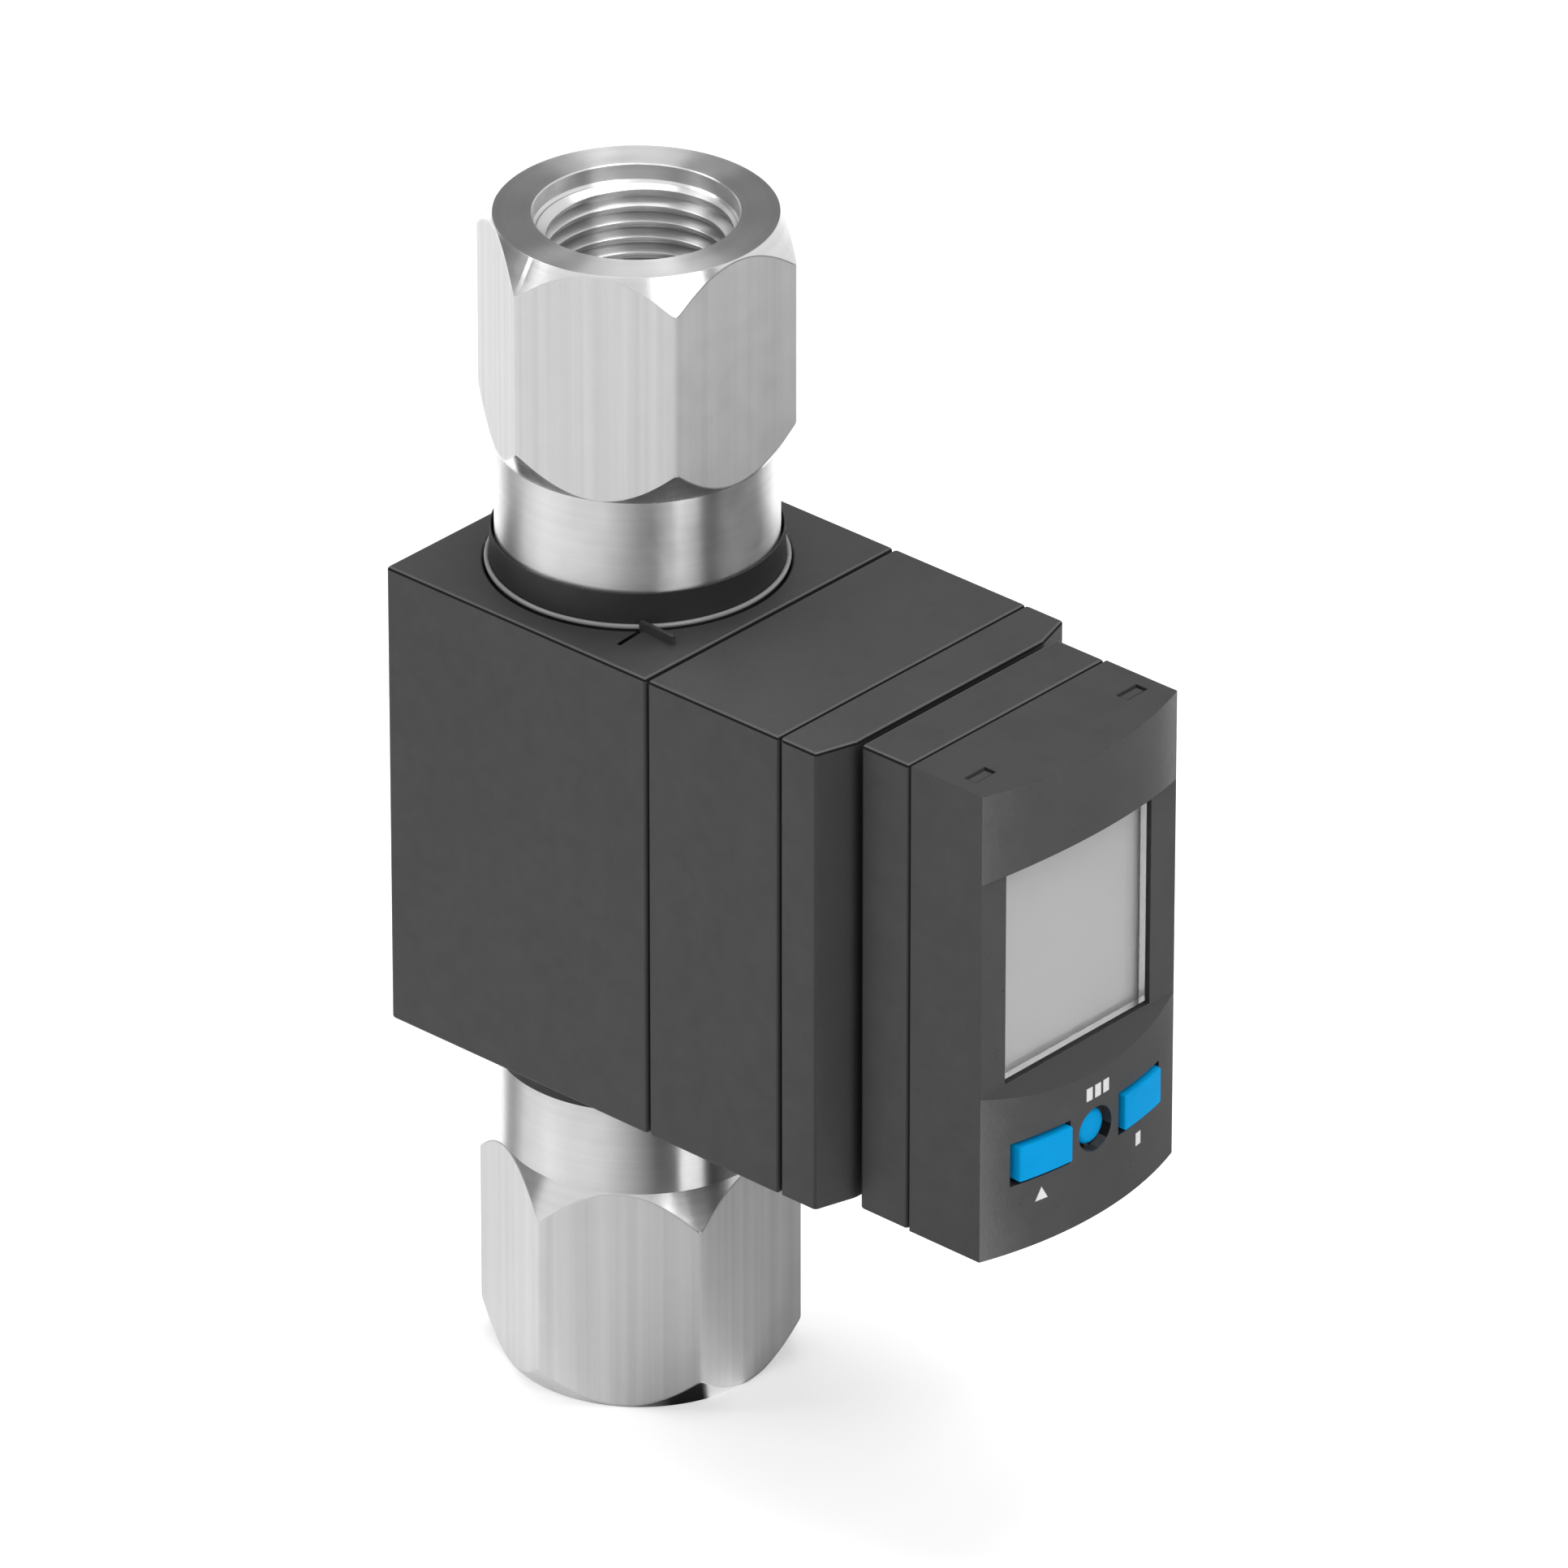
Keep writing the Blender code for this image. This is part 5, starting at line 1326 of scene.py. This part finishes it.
@dataclass(frozen=True)
class Housing:
    """The three plastic blocks, the seals in their joints and the screws that clamp them."""

    half_width: float = 0.0192
    seal_inset: float = 0.0006
    seal_width: float = 0.0005
    rear_joint: tuple[float, float] = (0.03651, 0.03679)
    front_joint: tuple[float, float] = (0.05491, 0.05515)
    neck_hole_radius: float = 0.01605
    rim_chamfer: float = 0.0004
    neck_depth: float = 0.00435
    overcut: float = 0.001
    screw_x: float = 0.0150
    screw_z: float = 0.0188
    head_radius: float = 0.00275
    head_height: float = 0.0030
    head_sunk: float = 0.0004
    shank_radius: float = 0.0015
    shank_length: float = 0.0552
    screw_edge: float = 0.0003
    screw_sharp_angle: float = math.radians(30.0)
    socket_radius: float = 0.00145
    socket_depth: float = 0.0014
    mark_line: tuple[tuple[float, float], ...] = (
        (-0.0153, -0.0294), (-0.0115, -0.0291), (-0.0117, -0.0334)
    )
    mark_width: float = 0.0005
    mark_depth: float = 0.0003

    def neck_cutter(self, name: str, place: Matrix) -> Blank:
        """Makes the round, chamfered hole of a neck ring.

        Args:
            name: The cutter's name.
            place: What carries it to the housing's end.

        Returns:
            The cutter.
        """
        rim = self.neck_hole_radius + self.rim_chamfer
        profile = [
            (0.0, self.overcut),
            (rim + self.overcut, self.overcut),
            (self.neck_hole_radius, -self.rim_chamfer),
            (self.neck_hole_radius, -self.neck_depth),
            (0.0, -self.neck_depth),
        ]
        return Blank.turned(name, profile, place)

    def mark_cutters(self) -> list[Blank]:
        """Makes a bar for each stroke of the arrow head that is sunk in the rear block's top.

        Returns:
            The cutters.
        """
        bars = []
        half = self.mark_width / 2
        for number, (start, end) in enumerate(zip(self.mark_line, self.mark_line[1:])):
            run = Vector(end) - Vector(start)
            place = Matrix.Translation((*start, HOUSING_END))
            place @= Matrix.Rotation(math.atan2(run.y, run.x), 4, "Z")
            outline = rectangle(-half, run.length + half, -half, half)
            bar = Blank.prism(f"mark_{number}", outline, -self.mark_depth, self.overcut, place)
            bars.append(bar)
        return bars

    def build_blocks(self) -> None:
        """Builds the three blocks."""
        above, below = pipe_ends(HOUSING_END)
        rear = Blank.from_node("tube_housing")
        rear.cut(
            self.neck_cutter("upper_neck_hole", above), self.neck_cutter("lower_neck_hole", below)
        )
        rear.cut(*self.mark_cutters())
        blanks = {"tube_housing": rear}
        for name in ("electronics_housing", "front_block"):
            blanks[name] = Blank.from_node(name)
        for name, blank in blanks.items():
            berth = Berth("housing", "housing_plastic", (name,))
            # The faces of roundings get a painted highlight or painted shade by how far up they
            # look.
            blank.mark_lit_and_shaded_brims().shade().finish(berth, HOUSING_BLACK, BRIM_PAINTED_HIGHLIGHT, BRIM_PAINTED_SHADE)

    def frame_outline(self, inset: float) -> Profile:
        """Returns the blocks' outline in X and Z, drawn in by an inset."""
        wide, tall = self.half_width - inset, HOUSING_END - inset
        return rectangle(-wide, wide, -tall, tall)

    def build_seals(self) -> None:
        """Builds the thin seal frames that close the joints between the blocks."""
        outer = self.frame_outline(self.seal_inset)
        inner = self.frame_outline(self.seal_inset + self.seal_width)
        for name, (low, high) in (("rear_seal", self.rear_joint), ("front_seal", self.front_joint)):
            opening = Blank.prism(
                name + "_opening", inner, low - self.overcut, high + self.overcut, FORWARDS
            )
            seal = Blank.prism(name, outer, low, high, FORWARDS).cut(opening)
            seal.finish(Berth("housing", "black_rubber"), RUBBER)

    def build_screws(self) -> None:
        """Builds one socket head screw and sets it in the four corners."""
        top = self.head_height
        edge = self.screw_edge
        profile = [
            (0.0, top),
            (self.head_radius - edge, top),
            (self.head_radius, top - edge),
            (self.head_radius, 0.0),
            (self.shank_radius, 0.0),
            (self.shank_radius, -self.shank_length + edge),
            (self.shank_radius - edge, -self.shank_length),
            (0.0, -self.shank_length),
        ]
        place = along(Axis.Y, (0.0, -self.head_sunk - self.head_height, 0.0))
        screw = Blank.turned("screw_form", profile, place, SMALL_STEPS)
        corners = arc(0.0, 0.0, self.socket_radius, FULL_TURN / 6, 6)
        bottom = top - self.socket_depth
        screw.cut(Blank.prism("socket_form", corners, bottom, top + self.overcut, place))
        sizes = {"Form": screw.obj, "Width": 2 * self.screw_x, "Height": 2 * self.screw_z,
                 "Columns": 2, "Rows": 2}
        screws = grid_recipe().make("housing_screws", SCREW_STEEL, sizes)
        screw.scrap()
        berth = Berth("housing", "zinc_steel", tuple(f"housing_screw_{i}" for i in range(1, 5)))
        screws.shade(self.screw_sharp_angle).finish(berth, SCREW_STEEL)

    def build(self) -> None:
        """Builds the blocks, the seals and the screws."""
        self.build_blocks()
        self.build_seals()
        self.build_screws()


@dataclass(frozen=True)
class PlugConnector:
    """The round M12 plug on the +X side."""

    radius: float = 0.0060
    bore: float = 0.0051
    flange_radius: float = 0.0075
    flange_low: float = 0.0208
    flange_high: float = 0.0228
    tail: float = 0.0128
    end: float = 0.0312
    edge: float = 0.0003
    pin_radius: float = 0.0005
    pin_circle: float = 0.00275
    pin_low: float = 0.0108
    pin_high: float = 0.0265
    pin_steps: int = 24
    outer_pins: int = 4
    pin_turn: float = math.radians(45.0)
    kept_sharp_angle: float = math.radians(40.0)
    thread: Thread = Thread(
        root_radius=0.00542, pitch=0.0010, base=0.00086, crest=0.00014,
        height=0.00057, rounding=0.00005, outside=True,
    )

    def build_shell(self) -> None:
        """Builds the nickel shell and the ridge of its outer thread."""
        root = self.thread.root_radius
        edge = self.edge
        profile = [
            (root - edge / 2, self.end),
            (root, self.end - edge / 2),
            (root, self.flange_high + 2 * edge),
            (self.radius - edge, self.flange_high),
            (self.flange_radius - edge, self.flange_high),
            (self.flange_radius, self.flange_high - edge),
            (self.flange_radius, self.flange_low),
            (self.radius, self.flange_low),
            (self.radius, self.tail),
            (self.bore, self.tail),
            (self.bore, self.end - edge / 2),
            (self.bore + edge / 4, self.end),
        ]
        place = along(Axis.X, PLUG_CENTRE)
        shell = Blank.turned("connector_shell_turned", profile, place)
        shell.shade().finish(Berth("housing", "nickel_brass", ("connector_shell",)), NICKEL)
        low = self.flange_high + self.thread.pitch
        high = self.end - self.thread.pitch / 2
        ridge = self.thread.ridge("connector_thread", low, high, place, NICKEL)
        ridge.shade().finish(Berth("housing", "nickel_brass"), NICKEL)

    def build_pins(self) -> None:
        """Builds one round-nosed pin and sets five of them."""
        radius = self.pin_radius
        nose = arc(0.0, self.pin_high - radius, radius, math.pi / 12, 7)
        profile = [(0.0, self.pin_low), (radius, self.pin_low), *nose]
        pin = Blank.turned("pin_form", profile, along(Axis.X, (0.0, 0.0, 0.0)), self.pin_steps)
        sizes = {"Form": pin.obj, "Radius": self.pin_circle, "Count": self.outer_pins,
                 "Turn": self.pin_turn}
        pins = circle_recipe().make("connector_pins", GOLD, sizes)
        pins.obj.data.transform(Matrix.Translation(PLUG_CENTRE))
        pin.scrap()
        nodes = tuple(f"connector_pin_{number}" for number in range(1, self.outer_pins + 2))
        pins.shade().finish(Berth("housing", "gold_contact", nodes), GOLD)

    def build(self) -> None:
        """Builds the shell and pins, and dresses what stays."""
        self.build_shell()
        self.build_pins()
        refine("connector_nut", "nickel_brass", NICKEL, self.kept_sharp_angle)
        refine("connector_seal", "black_rubber", RUBBER, self.kept_sharp_angle)
        refine("connector_insert", "housing_plastic", HOUSING_BLACK, self.kept_sharp_angle)


@dataclass(frozen=True)
class FlowTube:
    """What lies in the flow and behind it: tube, bluff body, sensing paddle and its seals."""

    moulded: tuple[str, ...] = ("measuring_tube", "sensor_carrier")
    machined: tuple[str, ...] = ("bluff_body", "sensor_paddle")
    seals: tuple[str, ...] = ("upper_o_ring", "lower_o_ring", "sensor_seal")

    def build(self) -> None:
        """Dresses the inner parts, smoothing those that the bore lets in sight."""
        for names, slot, finish in (
            (self.moulded, "tube_plastic", GLASS_FILLED),
            (self.machined, "stainless", MILLED_STEEL),
            (self.seals, "black_rubber", RUBBER),
        ):
            for name in names:
                refine(name, slot, finish)
        dress(GOLD, "sensor_lead_1", "sensor_lead_2")
        dress(SOLDER_MASK, "signal_board")
        dress(RUBBER, "display_lead")


@dataclass(frozen=True)
class DisplayHead:
    """The swivelling head: two shells, window, panel and boards, and the swivel behind it."""

    bulge_radius: float = 0.045439
    bulge_centre_y: float = -0.036311
    front: float = -0.08175
    round_hole_radius: float = 0.00221
    round_hole_widening: float = 0.00035
    round_hole_z: float = -0.0170
    mouth_depth: float = 0.0012
    mouth_reach: float = 0.0020

    def bulge(self, x: float, proud: float = 0.0) -> float:
        """Returns the Y of the head's bulged face at an X, or of a face this far proud of it."""
        return self.bulge_centre_y - math.sqrt((self.bulge_radius + proud) ** 2 - x * x)

    def sink_cutter(self) -> Blank:
        """Makes what opens the round button's hole out towards the face.

        Returns:
            The cutter.
        """
        mouth = self.round_hole_radius + self.round_hole_widening
        profile = [
            (0.0, self.mouth_reach),
            (mouth, self.mouth_reach),
            (mouth, 0.0),
            (self.round_hole_radius, -self.round_hole_widening),
            (0.0, -self.round_hole_widening),
        ]
        rear = self.front + self.mouth_depth
        place = Matrix.Translation((0.0, rear, self.round_hole_z)) @ FORWARDS
        return Blank.turned("round_hole_mouth", profile, place, SMALL_STEPS)

    def build(self) -> None:
        """Builds the shells, and dresses the window, the panel, the boards and the swivel."""
        for name in ("head_back_shell", "head_bezel"):
            shell = Blank.from_node(name)
            if name == "head_bezel":
                shell.cut(self.sink_cutter()).mark_front_painted_light()
            berth = Berth("display_head", "housing_plastic", (name,))
            # The last finish paints light on the front faces: a lighter copy of the head's black.
            finishes = (HEAD_BLACK, BRIM_PAINTED_HIGHLIGHT, BRIM_PAINTED_SHADE, FRONT_PAINTED_LIGHT)
            # Roundings get a painted highlight or painted shade by how far up they look.
            shell.mark_lit_and_shaded_brims().shade().finish(berth, *finishes)
        dress(WINDOW_CLEAR, "window_pane")
        dress(DISPLAY_GREY, "lcd_panel")
        dress(FRAME_WHITE, "lcd_frame")
        dress(SOLDER_MASK, "display_board")
        dress(SCREW_STEEL, "button_a_switch", "button_b_switch", "button_set_switch")
        dress(HOUSING_BLACK, "swivel_hub")
        dress(RUBBER, "swivel_washer")
        dress(SCREW_STEEL, "swivel_clip")


@dataclass(frozen=True)
class PushButtons:
    """The two rectangular buttons, the sunk round one, and the white signs beside them."""

    head: DisplayHead
    z: float = -0.0170
    pitch: float = 0.0154
    width: float = 0.0070
    height: float = 0.0042
    proud: float = 0.00055
    edge: float = 0.0006
    shift: float = 0.0003
    lip: float = 0.0006
    lip_rear: float = -0.07655
    lip_front: float = -0.07735
    plunger_radius: float = 0.0012
    plunger_rear: float = -0.0748
    joint: float = 0.0001
    round_radius: float = 0.00205
    round_sunk: float = 0.0005
    face_steps: int = 24
    edge_steps: int = 5
    sign_z: float = -0.0216
    middle_sign_z: float = -0.0125
    sign_shift: float = 0.0003
    sign_height: float = 0.0015
    sign_thickness: float = 0.00003
    triangle_width: float = 0.0016
    bar_width: float = 0.0009
    bar_pitch: float = 0.0013

    def plunger(self, name: str, x: float) -> Blank:
        """Makes the plunger that reaches back to a button's switch.

        Args:
            name: The button's CAD node.
            x: The button's middle.

        Returns:
            The plunger.
        """
        place = Matrix.Translation((x, 0.0, self.z)) @ FORWARDS
        low, high = -self.plunger_rear, -self.lip_rear + self.joint
        profile = rectangle(0.0, self.plunger_radius, high, low)
        return Blank.turned(name + "_plunger", profile, place, SMALL_STEPS)

    def build_rectangular(self, name: str, x: float) -> None:
        """Builds a rectangular button whose face follows the head's bulge.

        Args:
            name: Its CAD node.
            x: Its middle.
        """
        half, half_height = self.width / 2, self.height / 2
        across = [x - half + self.width * i / self.face_steps for i in range(self.face_steps + 1)]
        outline = [(at, self.head.bulge(at, self.proud)) for at in across]
        outline += [(x + half, self.lip_rear - self.joint), (x - half, self.lip_rear - self.joint)]
        place = Matrix.Translation((0.0, 0.0, self.z))
        body = Blank.prism(name + "_body", outline, -half_height, half_height, place)
        body.soften(self.edge, self.edge_steps)
        wide, tall = half + self.lip, half_height + self.lip
        section = rectangle(x - wide, x + wide, self.lip_rear, self.lip_front)
        lip = Blank.prism(name + "_lip", section, -tall, tall, place)
        body.join(lip, self.plunger(name, x)).shade()
        body.finish(Berth("push_" + name, "button_blue", (name,)), BUTTON_BLUE)

    def build_round(self, name: str) -> None:
        """Builds the round button, which is sunk in its hole.

        Args:
            name: Its CAD node.
        """
        place = Matrix.Translation((0.0, 0.0, self.z)) @ FORWARDS
        face = -self.head.front - self.round_sunk
        edge = self.edge / 2
        wide = self.round_radius + self.lip
        profile = [
            (0.0, face),
            (self.round_radius - 2 * edge, face - edge / 4),
            (self.round_radius - edge / 2, face - edge),
            (self.round_radius, face - 2 * edge),
            (self.round_radius, -self.lip_front),
            (wide, -self.lip_front),
            (wide, -self.lip_rear),
            (0.0, -self.lip_rear),
        ]
        body = Blank.turned(name + "_body", profile, place, SMALL_STEPS)
        body.join(self.plunger(name, 0.0)).shade()
        body.finish(Berth("push_" + name, "button_blue", (name,)), BUTTON_BLUE)

    def build_sign(self, name: str, x: float, z: float, outlines: Sequence[Profile]) -> None:
        """Builds a white sign printed on the bulge.

        Args:
            name: Its name.
            x: Its middle.
            z: Its height.
            outlines: Its closed outlines in X and Z, round its middle.
        """
        cage = bmesh.new()
        for outline in outlines:
            layers = [
                [
                    cage.verts.new((x + u, self.head.bulge(x + u, proud), z + v))
                    for u, v in outline
                ]
                for proud in (-self.sign_thickness, self.sign_thickness)
            ]
            for layer in layers:
                cage.faces.new(layer)
            bridge(cage, *layers, 0)
        sign = Blank.from_cage(name, cage)
        sign.finish(Berth("display_head", "frame_white"), LEGEND_WHITE)

    def build_signs(self) -> None:
        """Builds a triangle, a bar and three short bars, each by its button."""
        tall, wide = self.sign_height / 2, self.triangle_width / 2
        triangle = [(-wide, -tall), (wide, -tall), (0.0, tall)]
        self.build_sign("sign_a", -self.pitch / 2, self.sign_z, [triangle])
        right = self.pitch / 2 - self.sign_shift
        self.build_sign("sign_b", right, self.sign_z, [self.bar(0.0)])
        bars = [self.bar(x) for x in (-self.bar_pitch, 0.0, self.bar_pitch)]
        self.build_sign("sign_set", self.sign_shift, self.middle_sign_z, bars)

    def bar(self, x: float) -> Profile:
        """Returns the outline of an upright bar."""
        half, tall = self.bar_width / 2, self.sign_height / 2
        return rectangle(x - half, x + half, -tall, tall)

    def build(self) -> None:
        """Builds the buttons and their signs."""
        self.build_rectangular("button_a", -self.pitch / 2 + self.shift)
        self.build_rectangular("button_b", self.pitch / 2 + self.shift / 2)
        self.build_round("button_set")
        self.build_signs()


def bearing(azimuth: float, elevation: float) -> Vector:
    """Returns the direction from the object at an azimuth counted from its front, and a height."""
    level = math.cos(elevation)
    return Vector((math.sin(azimuth) * level, -math.cos(azimuth) * level, math.sin(elevation)))


def stand(data: bpy.types.ID, place: Vector, back: Vector) -> bpy.types.Object:
    """Stands a camera or a lamp in the scene.

    Args:
        data: The camera or the lamp.
        place: Where it stands.
        back: The direction opposite to its view.

    Returns:
        Its object.
    """
    made = bpy.data.objects.new(data.name, data)
    made.location = place
    made.rotation_euler = (-back).to_track_quat("-Z", "Y").to_euler()
    bpy.context.scene.collection.objects.link(made)
    return made


@dataclass(frozen=True)
class Lamp:
    """A soft lamp that faces the object; its share is that of plain white light on a surface."""

    name: str
    azimuth: float
    elevation: float
    size: float
    share: float
    distance: float = 1.4

    def build(self) -> None:
        """Sets the lamp."""
        data = bpy.data.lights.new(self.name, "AREA")
        data.size = self.size
        data.energy = self.share * math.pi**2 * self.distance**2
        back = bearing(math.radians(self.azimuth), math.radians(self.elevation))
        stand(data, back * self.distance, back)


@dataclass(frozen=True)
class Studio:
    """The camera, the pale floor and the soft light."""

    azimuth: float = math.radians(-47.97)
    elevation: float = math.radians(29.21)
    distance: float = 1.890
    lens: float = 413.7
    sensor: float = 36.0
    clip_end: float = 100.0
    right: float = 0.01524
    rise: float = -0.00014
    floor_half: float = 8.0
    floor_shade: float = 0.8
    floor_roughness: float = 0.9
    floor_glow: float = 0.35
    card_glow: float = 0.4
    plain_light: float = 0.55
    overhead_light: float = 0.95
    overhead_from: float = 0.7
    overhead_to: float = 0.95
    lamps: tuple[Lamp, ...] = (
        Lamp("edge_light", -140.0, 42.0, 0.6, 0.22),
        Lamp("top_light", 110.0, 78.0, 1.0, 0.5),
        Lamp("front_light", -13.0, 40.0, 0.7, 0.3),
    )

    def set_camera(self) -> None:
        """Sets the camera at the photograph's angle."""
        data = bpy.data.cameras.new("camera")
        data.lens = self.lens
        data.sensor_width = self.sensor
        data.clip_end = self.clip_end
        right = Vector((math.cos(self.azimuth), math.sin(self.azimuth), 0.0))
        target = Vector((0.0, PIPE_Y, self.rise)) + self.right * right
        back = bearing(self.azimuth, self.elevation)
        bpy.context.scene.camera = stand(data, target + self.distance * back, back)

    def set_world(self) -> None:
        """Sets a white surrounding for what is seen and reflected, and a softer one as light."""
        world = bpy.data.worlds.new("studio")
        world.use_nodes = True
        bpy.context.scene.world = world
        sheet = NodeSheet(world.node_tree)
        path = sheet.node("ShaderNodeLightPath").outputs
        seen = sheet.math("MAXIMUM", path["Is Camera Ray"], path["Is Transmission Ray"])
        direction = sheet.node("ShaderNodeTexCoord").outputs["Generated"]
        walls = card_effect("wall cards", WALL_CARDS)
        cards = sheet.group(walls, {"Vector": direction}).outputs[0]
        height = sheet.node("ShaderNodeSeparateXYZ", {0: direction}).outputs[2]
        overhead = sheet.node(
            "ShaderNodeMapRange", {0: height, 1: self.overhead_from, 2: self.overhead_to}
        )
        mirrored = sheet.node(
            "ShaderNodeMapRange", {0: overhead.outputs[0], 3: cards, 4: self.overhead_light}
        )
        lit = sheet.math("MULTIPLY", path["Is Glossy Ray"], mirrored.outputs[0])
        matt = sheet.math("SUBTRACT", 1.0, path["Is Glossy Ray"])
        plain = sheet.math("MULTIPLY", matt, self.plain_light)
        level = sheet.math("MAXIMUM", seen, sheet.math("ADD", lit, plain))
        sheet.feed(world.node_tree.nodes["Background"], {"Strength": level, "Color": WHITE})

    def set_floor(self) -> None:
        """Sets the pale floor, which shows white outside the object's shadow."""
        half = self.floor_half
        corners = [(x, y, -PIPE_END) for x, y in rectangle(-half, half, -half, half)]
        mesh = bpy.data.meshes.new("floor")
        mesh.from_pydata(corners, [], [(0, 1, 2, 3)])
        floor = bpy.data.objects.new("floor", mesh)
        bpy.context.scene.collection.objects.link(floor)
        made, sheet, shader = bare_material("pale_floor")
        path = sheet.node("ShaderNodeLightPath").outputs
        seen = sheet.math("MAXIMUM", path["Is Camera Ray"], path["Is Transmission Ray"])
        place = sheet.node("ShaderNodeTexCoord").outputs["Object"]
        from_pipe = sheet.node(
            "ShaderNodeVectorMath", {0: place, 1: (0.0, PIPE_Y, 0.0)}, operation="SUBTRACT"
        )
        floor_cards = card_effect("floor cards", FLOOR_CARDS)
        cards = sheet.group(floor_cards, {"Vector": from_pipe.outputs[0]}).outputs[0]
        mirrored = path["Is Glossy Ray"]
        shade = sheet.node(
            "ShaderNodeMix", {0: mirrored, 2: self.floor_shade, 3: cards}, data_type="FLOAT"
        )
        reflected = sheet.math("MULTIPLY", sheet.math("MULTIPLY", mirrored, cards), self.card_glow)
        sheet.feed(shader, {
            "Base Color": shade.outputs[0],
            "Roughness": self.floor_roughness,
            "Emission Color": WHITE,
            "Emission Strength": sheet.math("MULTIPLY_ADD", seen, self.floor_glow, reflected),
        })
        under = sheet.node("ShaderNodeNewGeometry").outputs["Backfacing"]
        clear = sheet.node("ShaderNodeBsdfTransparent").outputs[0]
        mixed = sheet.node("ShaderNodeMixShader", {0: under, 1: shader.outputs[0], 2: clear})
        sheet.feed(made.node_tree.nodes["Material Output"], {"Surface": mixed.outputs[0]})
        mesh.materials.append(made)

    def build(self) -> None:
        """Sets the whole studio."""
        self.set_camera()
        self.set_world()
        self.set_floor()
        for lamp in self.lamps:
            lamp.build()
        bpy.context.scene.view_settings.view_transform = "Standard"
        log.info("the studio is set")


def main() -> None:
    """Builds the studio and every sub-assembly in turn."""
    logging.basicConfig(level=logging.INFO, format="%(name)s: %(message)s")
    Studio().build()
    for name, place in zip(("upper_fitting", "lower_fitting"), pipe_ends(PIPE_END)):
        Fitting(name, place).build()
    for name, place in zip(("upper_neck_ring", "lower_neck_ring"), pipe_ends(HOUSING_END)):
        NeckRing(name, place).build()
    Housing().build()
    PlugConnector().build()
    FlowTube().build()
    head = DisplayHead()
    head.build()
    PushButtons(head).build()


if __name__ == "__main__":
    main()
